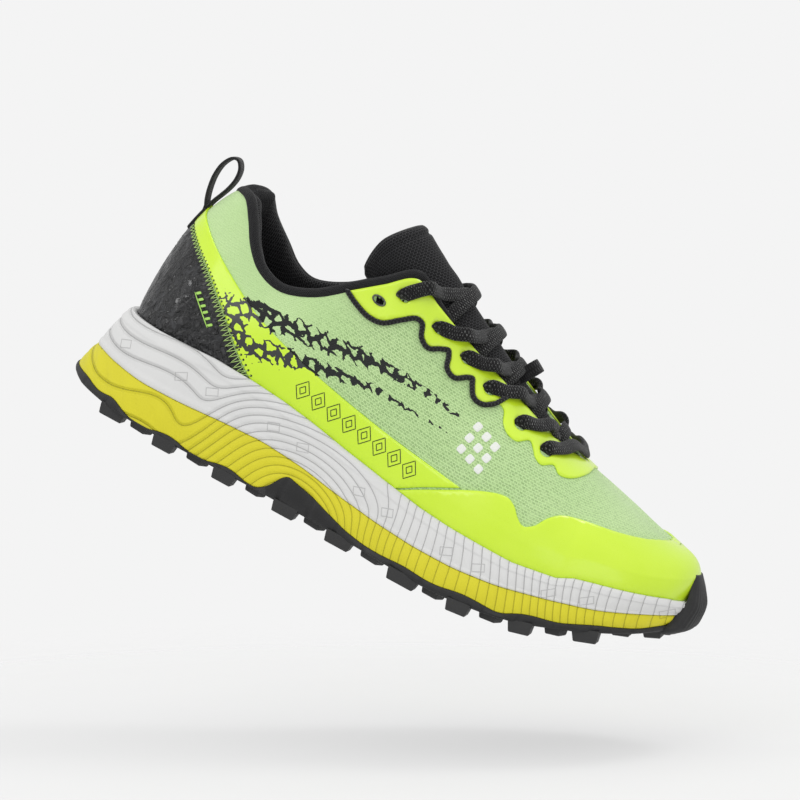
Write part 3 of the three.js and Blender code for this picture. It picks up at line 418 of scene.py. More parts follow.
def tube(path, up, wide, thick, sides=14, power=1.0):
    """Rings of a flattened tube along path; up is its short axis. power below 1 squares the section."""
    path, up = np.asarray(path, float), np.asarray(up, float)
    run = heading(path)
    across = unit(np.cross(run, up))
    lift = np.cross(across, run)
    a = 2 * np.pi * np.arange(sides) / sides
    cos, sin = (np.sign(f) * np.abs(f) ** power for f in (np.cos(a), np.sin(a)))
    wide, thick = (np.broadcast_to(np.asarray(v, float), len(path)) for v in (wide, thick))
    return (path[:, None] + across[:, None] * (wide[:, None] * cos)[..., None]
            + lift[:, None] * (thick[:, None] * sin)[..., None])


def tube_mesh(rings, closed=False):
    """A tube through its rings, with flat ends unless it is closed on itself."""
    count, sides = rings.shape[:2]
    points, faces = ring_faces(rings, closed)
    if not closed:
        faces.append(list(range(sides))[::-1])
        faces.append(list(range((count - 1) * sides, count * sides)))
    return points, faces


def tube_layer(rings):
    """Length along and place round a tube, for its weave."""
    run = run_along(rings.mean(1))
    count, sides = rings.shape[:2]
    a = np.arange(sides) / sides
    grid = np.stack([np.repeat(run, sides), np.tile(a, count), np.zeros(count * sides)], 1)
    return ("weave", grid)


def joined(parts):
    """Several (points, faces) as one."""
    points, faces, start = [], [], 0
    for p, f in parts:
        points.append(np.asarray(p, float))
        faces += [[v + start for v in face] for face in f]
        start += len(p)
    return np.vstack(points), faces


def inside(points, loop):
    """Which points lie inside a closed loop."""
    x, y = points[:, 0], points[:, 1]
    hit = np.zeros(len(points), bool)
    x0, y0 = loop[-1]
    for x1, y1 in loop:
        if y0 != y1:
            hit ^= ((y0 > y) != (y1 > y)) & (x < (x1 - x0) * (y - y0) / (y1 - y0) + x0)
        x0, y0 = x1, y1
    return hit


def noise2(x, y, seed=0):
    """Smooth value noise in -1..1."""
    rng = np.random.default_rng(seed)
    table = rng.uniform(-1, 1, (64, 64))
    xi, yi = np.floor(x).astype(int), np.floor(y).astype(int)
    fx, fy = x - xi, y - yi
    fx, fy = fx * fx * (3 - 2 * fx), fy * fy * (3 - 2 * fy)
    v = [[table[(xi + a) % 64, (yi + b) % 64] for b in (0, 1)] for a in (0, 1)]
    return ((v[0][0] * (1 - fx) + v[1][0] * fx) * (1 - fy) + (v[0][1] * (1 - fx) + v[1][1] * fx) * fy)


# Lengths in millimetres over the surface, for weaves and prints: round the shoe and up it.
ARC_S = np.linspace(0, LAST, 241)
ARC_HEIGHT = 0.45
ARC_MM = {side: run_along(skin(side * np.maximum(ARC_S, 1e-6), np.full_like(ARC_S, ARC_HEIGHT)))
          for side in (-1, 1)}
RIB_BOW = 1.04                       # a rib's length over the straight line between its ends


def surface_mm(sigma, t):
    """Millimetres round the shoe (lateral negative) and up it."""
    side, s = split(sigma)
    u = np.where(side < 0, -np.interp(s, ARC_S, ARC_MM[-1]), np.interp(s, ARC_S, ARC_MM[1]))
    bite, _, _, top, _ = rib(sigma)
    v = t * np.linalg.norm(top - bite, axis=-1) * RIB_BOW
    return u, v


# ------------------------------------------------------------------ materials
class Paint:
    """A node material under construction. Its methods return the sockets of the nodes they add."""

    def __init__(self, name):
        self.material = bpy.data.materials.new(name)
        self.material.use_nodes = True
        self.tree = self.material.node_tree
        self.shader = self.tree.nodes["Principled BSDF"]
        self.heights = []

    def put(self, socket, value):
        if hasattr(value, "links"):
            self.tree.links.new(value, socket)
        else:
            socket.default_value = value

    def node(self, kind, **inputs):
        n = self.tree.nodes.new("ShaderNode" + kind)
        for key, value in inputs.items():
            if hasattr(n, key):
                setattr(n, key, value)
            else:
                self.put(n.inputs[key.replace("_", " ")], value)
        return n

    def math(self, operation, a, b=0.0, c=0.0):
        n = self.node("Math", operation=operation)
        for socket, value in zip(n.inputs, (a, b, c)):
            self.put(socket, value)
        return n.outputs[0]

    def vector(self, operation, a, b=(0, 0, 0)):
        n = self.node("VectorMath", operation=operation)
        for socket, value in zip(n.inputs, (a, b)):
            self.put(socket, value)
        return n.outputs[0]

    def ramp(self, value, low, high, out_low=0.0, out_high=1.0):
        n = self.node("MapRange", interpolation_type="SMOOTHSTEP")
        for key, v in zip(("Value", "From Min", "From Max", "To Min", "To Max"),
                          (value, low, high, out_low, out_high)):
            self.put(n.inputs[key], v)
        return n.outputs[0]

    def mix(self, factor, a, b):
        n = self.node("Mix", data_type="RGBA")
        self.put(n.inputs[0], factor)
        for socket, value in ((n.inputs[6], a), (n.inputs[7], b)):
            self.put(socket, value if hasattr(value, "links") else linear(value))
        return n.outputs[2]

    def millimetres(self):
        """Place on the object, in millimetres."""
        return self.scaled(self.node("TexCoord").outputs["Object"], 1000)

    def scaled(self, vector, factor):
        n = self.node("VectorMath", operation="SCALE")
        self.put(n.inputs[0], vector)
        n.inputs["Scale"].default_value = factor
        return n.outputs[0]

    def stretch(self, vector, x, y, z):
        return self.vector("MULTIPLY", vector, (x, y, z))

    def attribute(self, name):
        n = self.node("Attribute")
        n.attribute_name = name
        return n

    def noise(self, vector, scale, detail=2.0, rough=0.5):
        n = self.node("TexNoise", Vector=vector, Scale=scale, Detail=detail, Roughness=rough)
        return n.outputs["Fac"]

    def bump(self, height, millimetres, strength=1.0):
        """Adds a relief whose height of 1 stands this many millimetres."""
        self.heights.append((height, millimetres, strength))

    def done(self, color, roughness, **sockets):
        self.put(self.shader.inputs["Base Color"], color if hasattr(color, "links") else linear(color))
        self.put(self.shader.inputs["Roughness"], roughness)
        for key, value in sockets.items():
            self.put(self.shader.inputs[key.replace("_", " ")], value)
        last = None
        for height, millimetres, strength in self.heights:
            n = self.node("Bump", Strength=strength, Distance=millimetres / 1000, Height=height)
            if last:
                self.tree.links.new(last, n.inputs["Normal"])
            last = n.outputs[0]
        if last:
            self.tree.links.new(last, self.shader.inputs["Normal"])
        return self.material


def linear(rgb):
    """Screen colour, 0 to 255, as linear light."""
    c = [v / 255 for v in rgb[:3]]
    return (*[v / 12.92 if v <= 0.04045 else ((v + 0.055) / 1.055) ** 2.4 for v in c], 1.0)


def tread_print(p, color, ink=(30, 33, 32)):
    """Black broken-block print over a colour, where the 'print' layer says."""
    amount = p.attribute("print").outputs["Fac"]
    where = p.attribute("surf").outputs["Vector"]
    warp = p.node("TexNoise", Vector=where, Scale=0.16, Detail=1.0).outputs["Color"]
    bent = p.vector("ADD", where, p.scaled(p.vector("SUBTRACT", warp, (0.5, 0.5, 0.5)), 3.0))
    first, second = (p.node("TexVoronoi", feature=kind, voronoi_dimensions="2D", distance="MANHATTAN",
                            Vector=p.stretch(bent, 0.175, 0.235, 1), Scale=1.0, Randomness=0.6)
                     .outputs["Distance"] for kind in ("F1", "F2"))
    blocks = p.math("SUBTRACT", second, first)
    fine = p.noise(where, 0.75, 1.0)
    width = p.ramp(amount, 0.0, 0.9, 0.15, 0.50)
    uneven = p.math("MULTIPLY", p.math("SUBTRACT", fine, 0.5), 0.45)
    cracks = p.math("LESS_THAN", blocks, p.math("ADD", width, uneven))
    torn = p.math("MULTIPLY", p.math("SUBTRACT", p.noise(where, 0.33, 1.0), 0.5), 1.1)
    ragged = p.math("ADD", amount, torn)
    solid = p.math("GREATER_THAN", amount, 1.4)
    ink_at = p.math("MAXIMUM", p.math("MULTIPLY", cracks, p.math("GREATER_THAN", ragged, 0.12)), solid)
    return p.mix(ink_at, color, ink), ink_at


def knit_paint():
    """Pale green knit with rows of small dark openings, under the tread print."""
    p = Paint("upper_knit")
    where = p.attribute("surf").outputs["Vector"]
    open_knit = p.attribute("open").outputs["Fac"]
    wobble = p.node("TexNoise", Vector=where, Scale=0.12, Detail=2.0).outputs["Color"]
    bent = p.vector("ADD", where, p.scaled(p.vector("SUBTRACT", wobble, (0.5, 0.5, 0.5)), 1.2))
    dashes = p.node("TexBrick", Vector=bent, Scale=1.0, Mortar_Size=0.40, Mortar_Smooth=0.7,
                    Brick_Width=1.9, Row_Height=1.3, offset=0.5, squash=1.0)
    patchy = p.ramp(p.noise(where, 0.45, 2.0), 0.35, 0.65, 0.45, 1.0)
    dark = p.math("MULTIPLY", p.ramp(dashes.outputs["Fac"], 0.85, 0.15), patchy)
    loops = p.node("TexWave", wave_type="BANDS", bands_direction="DIAGONAL", Scale=0.55, Distortion=1.2,
                   Vector=p.stretch(bent, 1.0, 1.0, 0), Detail=1.0, Detail_Scale=1.5).outputs["Fac"]
    rows = p.node("TexWave", wave_type="BANDS", bands_direction="Y", Vector=bent, Scale=0.34,
                  Distortion=0.6).outputs["Fac"]
    fibre = p.noise(p.stretch(where, 3.0, 1.2, 1), 1.0, 3.0, 0.7)
    cloud = p.noise(where, 0.03, 2.0)
    base = p.mix(p.ramp(fibre, 0.3, 0.75), (190, 222, 154), (212, 238, 180))
    base = p.mix(p.ramp(cloud, 0.3, 0.7, 0.0, 0.35), base, (182, 218, 148))
    shade = p.math("MULTIPLY", p.math("MULTIPLY", dark, open_knit), 0.62)
    base = p.mix(shade, base, (122, 158, 96))
    base = p.mix(p.math("MULTIPLY", p.ramp(loops, 0.2, 0.0), 0.2), base, (130, 168, 104))
    color, ink_at = tread_print(p, base)
    p.bump(p.math("SUBTRACT", 1.0, p.math("MULTIPLY", dark, open_knit)), 0.22, 0.8)
    p.bump(loops, 0.12, 0.7)
    p.bump(rows, 0.10, 0.6)
    return p.done(color, p.ramp(ink_at, 0, 1, 0.86, 0.6), Sheen_Weight=0.25, Sheen_Roughness=0.5,
                  Specular_IOR_Level=0.25)


def film_paint(name, tone, edge, printed=False):
    """Glossy welded film with a faint pebble."""
    p = Paint(name)
    mm = p.millimetres()
    cloud = p.noise(mm, 0.04, 3.0)
    grain = p.noise(mm, 3.2, 2.0)
    pebble = p.node("TexVoronoi", feature="F1", Vector=mm, Scale=1.7).outputs["Distance"]
    color = p.mix(p.ramp(cloud, 0.35, 0.75, 0.0, 0.5), tone, edge)
    ink_at = 0.0
    if printed:
        color, ink_at = tread_print(p, color)
    p.bump(pebble, 0.05, 0.5)
    p.bump(p.noise(mm, 0.14, 3.0), 0.5, 0.25)
    rough = p.math("ADD", p.ramp(grain, 0.2, 0.8, 0.26, 0.36), p.math("MULTIPLY", ink_at, 0.15))
    return p.done(color, rough, Coat_Weight=0.5, Coat_Roughness=0.16, Specular_IOR_Level=0.5)


def heel_paint():
    """Black film embossed with overlapping flakes, creased between them, with painted shade and highlights.
    """
    p = Paint("heel_film")
    where = p.attribute("surf").outputs["Vector"]
    warp = p.node("TexNoise", Vector=where, Scale=0.22, Detail=2.0).outputs["Color"]
    bent = p.stretch(p.vector("ADD", where, p.scaled(warp, 5.0)), 0.62, 0.36, 1)
    flakes, second = (p.node("TexVoronoi", feature=kind, voronoi_dimensions="2D", Vector=bent, Scale=1.0,
                             Randomness=1.0) for kind in ("F1", "F2"))
    ditch = p.ramp(p.math("SUBTRACT", second.outputs["Distance"], flakes.outputs["Distance"]), 0.02, 0.22)
    cell = p.node("SeparateXYZ", Vector=flakes.outputs["Color"]).outputs["X"]
    lit = p.ramp(p.noise(where, 0.06, 2.0), 0.35, 0.65)
    # Painted shade: the creases between the flakes are darker.
    color = p.mix(ditch, (6, 6, 7), (25, 25, 27))
    # Painted highlights: some flakes are lighter, more so in random patches.
    shine = p.math("MULTIPLY", p.ramp(cell, 0.55, 0.95), p.ramp(lit, 0, 1, 0.10, 0.60))
    color = p.mix(shine, color, (62, 63, 66))
    p.bump(ditch, 0.75, 1.0)
    p.bump(p.math("MULTIPLY", flakes.outputs["Distance"], cell), 1.9, 1.0)
    rough = p.ramp(cell, 0.2, 0.9, 0.22, 0.40)
    return p.done(color, rough, Specular_IOR_Level=0.45, Coat_Weight=0.12, Coat_Roughness=0.16)


def foam_paint(name, tone, dust):
    """Moulded foam with contour grooves and a row of engraved squares, some left out, with painted shade in
    both.
    """
    p = Paint(name)
    mm = p.millimetres()
    topo, pitch, lines = (p.attribute(key).outputs["Fac"] for key in ("topo", "pitch", "lines"))
    gap = p.math("ABSOLUTE", p.math("SUBTRACT", p.math("FRACT", topo), 0.5))
    away = p.math("MULTIPLY", gap, pitch)
    groove = p.ramp(away, 0.06, 0.30, 1.0, 0.0)
    x = p.node("SeparateXYZ", Vector=p.vector("SUBTRACT", mm, tuple(SHIFT))).outputs["X"]
    cell = p.math("ADD", p.math("DIVIDE", p.math("SUBTRACT", x, SQUARE["first"]), SQUARE["pitch"]), 0.5)
    off = p.math("MULTIPLY", p.math("SUBTRACT", p.math("FRACT", cell), 0.5), SQUARE["pitch"])
    left_out = p.math("GREATER_THAN", p.math("SINE", p.math("MULTIPLY", p.math("FLOOR", cell), 2.1)), 0.55)
    level = p.math("ADD", lines, p.math("MULTIPLY", left_out, OUT_OF_SIGHT))
    lean_c, lean_s = math.cos(SQUARE["lean"]), math.sin(SQUARE["lean"])
    wide = p.math("ADD", p.math("MULTIPLY", off, lean_c), p.math("MULTIPLY", level, lean_s))
    tall = p.math("SUBTRACT", p.math("MULTIPLY", level, lean_c), p.math("MULTIPLY", off, lean_s))
    edge = p.math("MAXIMUM", p.math("SUBTRACT", p.math("ABSOLUTE", wide), SQUARE["half_wide"]),
                  p.math("SUBTRACT", p.math("ABSOLUTE", tall), SQUARE["half_tall"]))
    square = p.ramp(p.math("ABSOLUTE", edge), 0.08, 0.28, 1.0, 0.0)
    both = p.math("MAXIMUM", groove, p.math("MULTIPLY", square, 0.75))
    grain = p.noise(mm, 2.6, 3.0, 0.7)
    cloud = p.noise(mm, 0.05, 2.0)
    color = p.mix(p.ramp(cloud, 0.3, 0.8, 0.0, 0.5), tone, dust)
    # Painted shade: the grooves and the squares are darkened.
    color = p.mix(p.math("MULTIPLY", both, 0.5), color, tuple(v * 0.62 for v in tone))
    p.bump(p.math("SUBTRACT", 1.0, both), 0.25, 0.7)
    deeper_behind = p.ramp(p.math("DIVIDE", x, 150.0), 0.25, 0.8, 1.0, 0.25)
    p.bump(p.math("MULTIPLY", p.ramp(away, 0.0, 1.5), deeper_behind), 0.75, 0.9)
    p.bump(grain, 0.06, 0.5)
    return p.done(color, p.ramp(grain, 0.3, 0.7, 0.5, 0.66), Specular_IOR_Level=0.35)


def rubber_paint():
    """Black rubber, lighter grey on its sharp convex edges."""
    p = Paint("outsole_rubber")
    mm = p.millimetres()
    grain = p.noise(mm, 2.2, 4.0, 0.65)
    cloud = p.noise(mm, 0.06, 3.0)
    convex_edges = p.node("NewGeometry").outputs["Pointiness"]
    color = p.mix(p.ramp(cloud, 0.3, 0.75), (28, 28, 29), (39, 39, 40))
    # Colour: lighter grey wherever the surface is sharply convex, from the pointiness.
    color = p.mix(p.ramp(convex_edges, 0.52, 0.60, 0.0, 0.35), color, (72, 72, 72))
    p.bump(grain, 0.12, 0.6)
    p.bump(p.noise(mm, 0.5, 2.0), 0.25, 0.4)
    return p.done(color, p.ramp(grain, 0.25, 0.8, 0.5, 0.75), Specular_IOR_Level=0.4)


def spacer_paint(name, tone, light, size=1.0):
    """Black spacer mesh: rows of small oval pits."""
    p = Paint(name)
    where = p.scaled(p.attribute("surf").outputs["Vector"], 1 / size)
    pits = p.node("TexBrick", Vector=where, Scale=1.0, Mortar_Size=0.3, Mortar_Smooth=0.9,
                  Brick_Width=1.9, Row_Height=1.25, offset=0.5)
    pits.inputs["Color1"].default_value = (0, 0, 0, 1)
    pits.inputs["Color2"].default_value = (0.12, 0.12, 0.12, 1)
    pits.inputs["Mortar"].default_value = (1, 1, 1, 1)
    rib_height = p.ramp(pits.outputs["Fac"], 0.0, 1.0)
    fibre = p.noise(p.stretch(where, 5.0, 2.0, 1), 1.0, 3.0, 0.7)
    color = p.mix(rib_height, tone, light)
    color = p.mix(p.ramp(fibre, 0.45, 0.8, 0.0, 0.4), color, tuple(v * 1.35 for v in light))
    p.bump(rib_height, 0.45, 0.9)
    p.bump(fibre, 0.1, 0.5)
    return p.done(color, 0.92, Sheen_Weight=0.2, Sheen_Roughness=0.4, Specular_IOR_Level=0.2)


def woven_paint(name, tone, light, along_pitch=1.1, around_count=10.0, fleck=None, gloss=0.9):
    """Braid or tape: crossing yarns over the 'weave' layer, with flecks where asked."""
    p = Paint(name)
    sep = p.node("SeparateXYZ", Vector=p.attribute("weave").outputs["Vector"])
    run, turn = sep.outputs["X"], sep.outputs["Y"]
    a = p.math("ADD", p.math("DIVIDE", run, along_pitch), p.math("MULTIPLY", turn, around_count))
    b = p.math("SUBTRACT", p.math("DIVIDE", run, along_pitch), p.math("MULTIPLY", turn, around_count))
    yarns = p.math("MULTIPLY", p.math("PINGPONG", a, 0.5), p.math("PINGPONG", b, 0.5))
    high = p.ramp(yarns, 0.02, 0.17)
    mm = p.millimetres()
    fibre = p.noise(mm, 4.0, 3.0, 0.7)
    color = p.mix(high, tone, light)
    color = p.mix(p.ramp(fibre, 0.5, 0.85, 0.0, 0.45), color, tuple(min(255, v * 1.5) for v in light))
    if fleck:
        spots = p.math("MULTIPLY", p.math("GREATER_THAN", p.noise(mm, 2.3, 2.0, 0.8), 0.575), high)
        color = p.mix(p.math("MULTIPLY", spots, 0.30), color, fleck)
    p.bump(high, 0.32, 0.9)
    p.bump(fibre, 0.08, 0.5)
    return p.done(color, gloss, Sheen_Weight=0.2, Sheen_Roughness=0.5, Specular_IOR_Level=0.25)


def plain_paint(name, tone, other, roughness, grain=1.5, height=0.08):
    """A small smooth piece: two close tones in a fine grain."""
    p = Paint(name)
    mm = p.millimetres()
    spots = p.noise(mm, grain, 3.0, 0.6)
    color = p.mix(p.ramp(spots, 0.35, 0.7), tone, other)
    p.bump(spots, height, 0.6)
    return p.done(color, p.ramp(spots, 0.2, 0.8, roughness, min(1, roughness + 0.12)))


# Engraved squares on the foam, in millimetres and radians. A left-out square is moved out of sight.
SQUARE = {"first": 24.0, "pitch": 15.5, "half_wide": 2.7, "half_tall": 1.7, "lean": 0.42}
OUT_OF_SIGHT = 60.0
PAINT = {
    "knit": knit_paint(),
    "film": film_paint("neon_film", (206, 240, 40), (214, 244, 62)),
    "printed_film": film_paint("neon_film_printed", (204, 240, 38), (212, 244, 56), printed=True),
    "heel": heel_paint(),
    "white": foam_paint("white_foam", (221, 221, 220), (214, 214, 213)),
    "yellow": foam_paint("yellow_foam", (220, 212, 44), (212, 203, 40)),
    "rubber": rubber_paint(),
    "spacer": spacer_paint("lining_mesh", (13, 13, 14), (38, 38, 40)),
    "tongue": spacer_paint("tongue_mesh", (16, 16, 17), (44, 44, 46), 0.9),
    "binding": spacer_paint("binding_knit", (24, 24, 25), (42, 42, 44), 0.42),
    "lace": woven_paint("lace_braid", (10, 10, 11), (29, 29, 30), 1.25, 7.0, fleck=(225, 226, 222)),
    "tape": woven_paint("webbing", (16, 16, 17), (40, 40, 42), 1.0, 9.0),
    "cord": woven_paint("piping_cord", (18, 18, 19), (46, 46, 48), 1.6, 3.0, gloss=0.8),
    "thread": plain_paint("zigzag_thread", (172, 206, 118), (196, 226, 140), 0.6, 6.0),
    "hole": plain_paint("needle_hole", (22, 24, 18), (34, 36, 26), 0.9),
    "rim": plain_paint("rim_plastic", (60, 62, 58), (104, 106, 100), 0.3, 1.0, 0.03),
    "mark": plain_paint("pale_mark", (236, 238, 232), (226, 229, 222), 0.55, 2.0, 0.04),
    "ink": plain_paint("dark_ink", (30, 34, 20), (44, 50, 28), 0.6, 3.0, 0.03),
    "lime": plain_paint("lime_mark", (160, 214, 90), (184, 228, 116), 0.55, 3.0, 0.04),
    "sock": spacer_paint("sock_liner_cloth", (20, 21, 22), (40, 41, 43), 0.8),
    "board": plain_paint("lasting_board", (208, 204, 192), (222, 218, 206), 0.9, 0.8, 0.2),
    "counter": plain_paint("counter_board", (196, 196, 192), (206, 206, 202), 0.6, 1.0),
    "aglet": plain_paint("aglet_plastic", (20, 20, 22), (32, 32, 34), 0.25, 1.0, 0.03),
}


# ------------------------------------------------------------------ upper knit
COLS_PER_RIB = 14
SIGMA = np.arange(-LAST * COLS_PER_RIB, LAST * COLS_PER_RIB) / COLS_PER_RIB
MESH = 1.5                           # thickness of the knit
HOLE_REACH = 2.6                     # the knit is left out this near to a lace hole's centre
HOLES = [(124, 107), (143.5, 101.5), (160, 95.5), (175, 88.5), (194, 81.5), (209, 76.5)]
SLOT = (115.5, 100.5)


# The tread print in side view: each band's middle height and half width over x.
UPPER_BAND = [(60, 70.5), (75, 71.2), (100, 74), (130, 77), (150, 76.4), (172, 73.5)]
UPPER_WIDTH = [(57, 0.1), (64, 4.5), (80, 5.6), (110, 4.8), (140, 3.3), (165, 2.3), (174, 0.2)]
LOWER_BAND = [(62, 61), (75, 57.5), (90, 60.5), (100, 62.5), (130, 67), (172, 66)]
LOWER_WIDTH = [(58, 0.1), (66, 4.5), (80, 6.2), (100, 4.4), (120, 2.8), (140, 1.7), (166, 1.0), (173, 0.1)]
WEDGE_BAND, WEDGE_WIDTH = [(62, 74.2), (84, 75.6)], [(62, 0.5), (70, 1.6), (84, 0.4)]
PRINT_END = 176


def print_amount(points):
    """How strongly the tread print shows: two bands, a cluster over the film, a solid wedge (above 1.4)."""
    x, z = points[..., 0], points[..., 2]
    upper, lower, wedge = (np.abs(z - along(band, x)) / along(width, x) for band, width in (
        (UPPER_BAND, UPPER_WIDTH), (LOWER_BAND, LOWER_WIDTH), (WEDGE_BAND, WEDGE_WIDTH)))
    cluster = np.hypot((x - 63) / 12.0, (z - 66 + 0.55 * (x - 63)) / 6.0)
    amount = np.clip(np.maximum.reduce([1 - upper, 1 - lower, 1 - cluster]), -1, 1.2)
    amount = np.where(x > PRINT_END, -1, amount - np.interp(x, [125, 165], [0, 0.35]))
    in_wedge = (x > 62) & (x < 84) & (1.8 - wedge > 0.9)
    return np.where(in_wedge, np.maximum(amount, 1.6), np.minimum(amount, 1.2))


def knit_upper():
    """The knit, from its hem to the collar and the ridge: one net of points without the lace holes."""
    t = np.r_[np.linspace(-1, 0, 5)[:-1], np.linspace(0, 1, 62)]
    sigma, tt = np.meshgrid(SIGMA, t, indexing="ij")
    outer, inner = off_skin(sigma, tt, np.zeros_like(tt)), off_skin(sigma, tt, np.full_like(tt, -MESH))
    swell = 0.35 * noise2(sigma * 1.1, tt * 4, 3) * np.clip(tt, 0, 1) * np.clip(1.0 - tt, 0, 1)
    outer += normal(sigma, tt) * swell[..., None]
    keep = np.ones(sigma.shape, bool)
    for side in (-1, 1):
        for x, z in [*HOLES, SLOT]:
            centre = skin(*locate(side, x, z)[0])
            keep &= np.linalg.norm(outer - centre, axis=-1) > HOLE_REACH
    points, faces = closed_shell(
        outer, inner, wrap=True, rim_at=lambda i, j: min(abs(SIGMA[i]), abs(SIGMA[j])) < THROAT_END)
    gone = ~np.r_[keep.ravel(), keep.ravel()]
    faces = [f for f in faces if not all(gone[v] for v in f)]
    u, v = surface_mm(sigma, np.clip(tt, 0, 1))
    surf = np.stack([u, v, np.zeros_like(u)], -1).reshape(-1, 3)
    amount = print_amount(outer).ravel()
    x, z = outer[..., 0], outer[..., 2]
    behind = np.clip((x - 72 - (z - 70) * 0.6) / 40, 0.18, 1)        # the knit is closer at the heel
    open_knit = (behind * np.interp(x, [205, 250], [1, 0.6])).ravel()
    layers = [("surf", np.vstack([surf, surf])), ("print", np.r_[amount, np.full_like(amount, -1)]),
              ("open", np.r_[open_knit, open_knit])]
    obj = make("knit_upper", points, faces, weld=WELD_FINE, layers=layers, split=("surf",))
    return finish_piece(obj, PAINT["knit"], "upper_knit", "upper_mesh")


# ------------------------------------------------------------------ welded film overlays
FILM_TOP, FILM_LOW = 0.95, 0.05      # outer and inner face of a film, millimetres off the skin
TUCK = -0.4                          # how far the films run down the hem, as a share of it
CHART = np.array([12.0, 60.0])       # about how many millimetres one rib and one full height are
RIDGE_T = 0.9985                     # a film's edge above this height lies on the ridge


def inward_moves(ring):
    """Steps in (sigma, t) that lead one millimetre square off a loop, at each of its points."""
    e = 1e-3
    ps = (skin(ring[:, 0] + e, ring[:, 1]) - skin(ring[:, 0] - e, ring[:, 1])) / (2 * e)
    lo, hi = np.clip(ring[:, 1] - e, -1, 1), np.clip(ring[:, 1] + e, -1, 1)
    pt = (skin(ring[:, 0], hi) - skin(ring[:, 0], lo)) / (hi - lo)[:, None]
    step = np.roll(ring, -1, 0) - np.roll(ring, 1, 0)
    inward = unit(-np.cross(normal(ring[:, 0], ring[:, 1]), ps * step[:, :1] + pt * step[:, 1:]))
    g = np.stack([(ps * ps).sum(1), (ps * pt).sum(1), (pt * pt).sum(1)], 1)
    bs, bt = (ps * inward).sum(1), (pt * inward).sum(1)
    det = np.maximum(g[:, 0] * g[:, 2] - g[:, 1] ** 2, 1e-6)
    return np.stack([(g[:, 2] * bs - g[:, 1] * bt) / det, (g[:, 0] * bt - g[:, 1] * bs) / det], 1)


def in_patch(places, loops):
    """Which places are inside the first loop and outside the others."""
    good = inside(places, loops[0])
    for hole in loops[1:]:
        good &= ~inside(places, hole)
    return good


def filling(loops, pitch):
    """Places of a staggered net in the patch, clear of its loops."""
    lo, hi = loops[0].min(0), loops[0].max(0)
    gs, gt = np.meshgrid(*(np.arange(lo[k], hi[k], pitch[k]) for k in (0, 1)), indexing="ij")
    gs = gs + (np.arange(gt.shape[1]) % 2)[None, :] * pitch[0] / 2
    grid = np.stack([gs.ravel(), gt.ravel()], 1)
    grid = grid[in_patch(grid, loops)]
    scale = np.array([1 / pitch[0], 1 / pitch[1]])
    rim = np.vstack(loops)
    near = np.array([np.min(((rim - q) * scale) ** 2 @ np.ones(2)) for q in grid])
    return grid[near > 0.65**2]


def film_patch(loop, holes=(), pitch=(0.12, 0.022), relief=None, ridge=False, bevel=0.5):
    """Closed film over a loop of skin places (sigma, t), with rounded edges and holes. relief(sigma, t)
    raises its face. With ridge, the film is left open where it meets the other side's film."""
    loops = [np.asarray(loop, float), *[np.asarray(h, float) for h in holes]]
    places, heights, edges = [], [], []
    for number, ring in enumerate(loops):
        area = np.sum(ring[:, 0] * np.roll(ring[:, 1], -1) - np.roll(ring[:, 0], -1) * ring[:, 1])
        if (area < 0) == (number == 0):
            ring = ring[::-1]
        move = inward_moves(ring)
        trial = ring + move * 0.02
        if inside(trial, loops[0]).mean() < 0.5 or (number and inside(trial, loops[number]).mean() > 0.5):
            move = -move
        shared = ridge & (ring[:, 1] > RIDGE_T)
        inner = ring + move * bevel
        start, count = len(places), len(ring)
        places += ring.tolist()
        heights += np.where(shared, FILM_TOP, FILM_LOW + 0.45 * (FILM_TOP - FILM_LOW)).tolist()
        edges += [(start + i, start + (i + 1) % count) for i in range(count)]
        own = {}
        for i in np.flatnonzero(~shared).tolist():
            own[i] = len(places)
            places.append(inner[i].tolist())
            heights.append(FILM_TOP)
        edges += [(own[i], own[(i + 1) % count]) for i in own if (i + 1) % count in own]
    grid = filling(loops, pitch)
    everything = np.vstack([np.array(places), grid])
    heights = np.r_[heights, np.full(len(grid), FILM_TOP)]
    out = delaunay_2d_cdt([Vector(q) for q in everything * CHART], edges, [], 0, 1e-6)
    kept, tris, source = np.array([v[:] for v in out[0]]) / CHART, np.array(out[2]), out[3]
    high = np.array([heights[o[0]] if o else FILM_TOP for o in source])
    tris = tris[in_patch(kept[tris].mean(1), loops)]
    if relief is not None:
        high = high + np.where(high >= FILM_TOP - 1e-6, relief(kept[:, 0], kept[:, 1]), 0)
    upper = off_skin(kept[:, 0], kept[:, 1], high)
    under = off_skin(kept[:, 0], kept[:, 1], np.full(len(kept), FILM_LOW))
    n = len(kept)
    faces = tris.tolist() + (tris[:, ::-1] + n).tolist()
    border = {}
    for a, b, c in tris.tolist():
        for p, q in ((a, b), (b, c), (c, a)):
            key = (min(p, q), max(p, q))
            border[key] = None if key in border else (p, q)
    on_ridge = ridge & (kept[:, 1] > RIDGE_T) & (np.abs(kept[:, 0]) > THROAT_END - 1e-3)
    for p, q in filter(None, border.values()):
        if not (on_ridge[p] and on_ridge[q]):
            faces.append([q, p, p + n, q + n])
    u, v = surface_mm(kept[:, 0], np.clip(kept[:, 1], 0, 1))
    surf = np.stack([u, v, np.zeros_like(u)], 1)
    return np.vstack([upper, under]), faces, np.vstack([surf, surf])


def without_repeats(loop):
    """The loop without the places that fall on the one before."""
    return loop[np.r_[True, np.linalg.norm(np.diff(loop, axis=0) * CHART, axis=1) > 0.05]]


def edge_places(side, points, step=1.4):
    """Skin places along a side-view line, at even steps."""
    line = resampled(points, step)
    return locate(side, line[:, 0], line[:, 1])


def straight(a, b, count):
    """Places evenly between two."""
    return np.stack([np.linspace(a[0], b[0], count), np.linspace(a[1], b[1], count)], 1)


def height_on_heel(z):
    """Share of the height at z millimetres up the back of the heel."""
    t = np.linspace(0, 1, 400)
    return float(np.interp(z, skin(np.full(len(t), 1e-6), t)[:, 2], t))


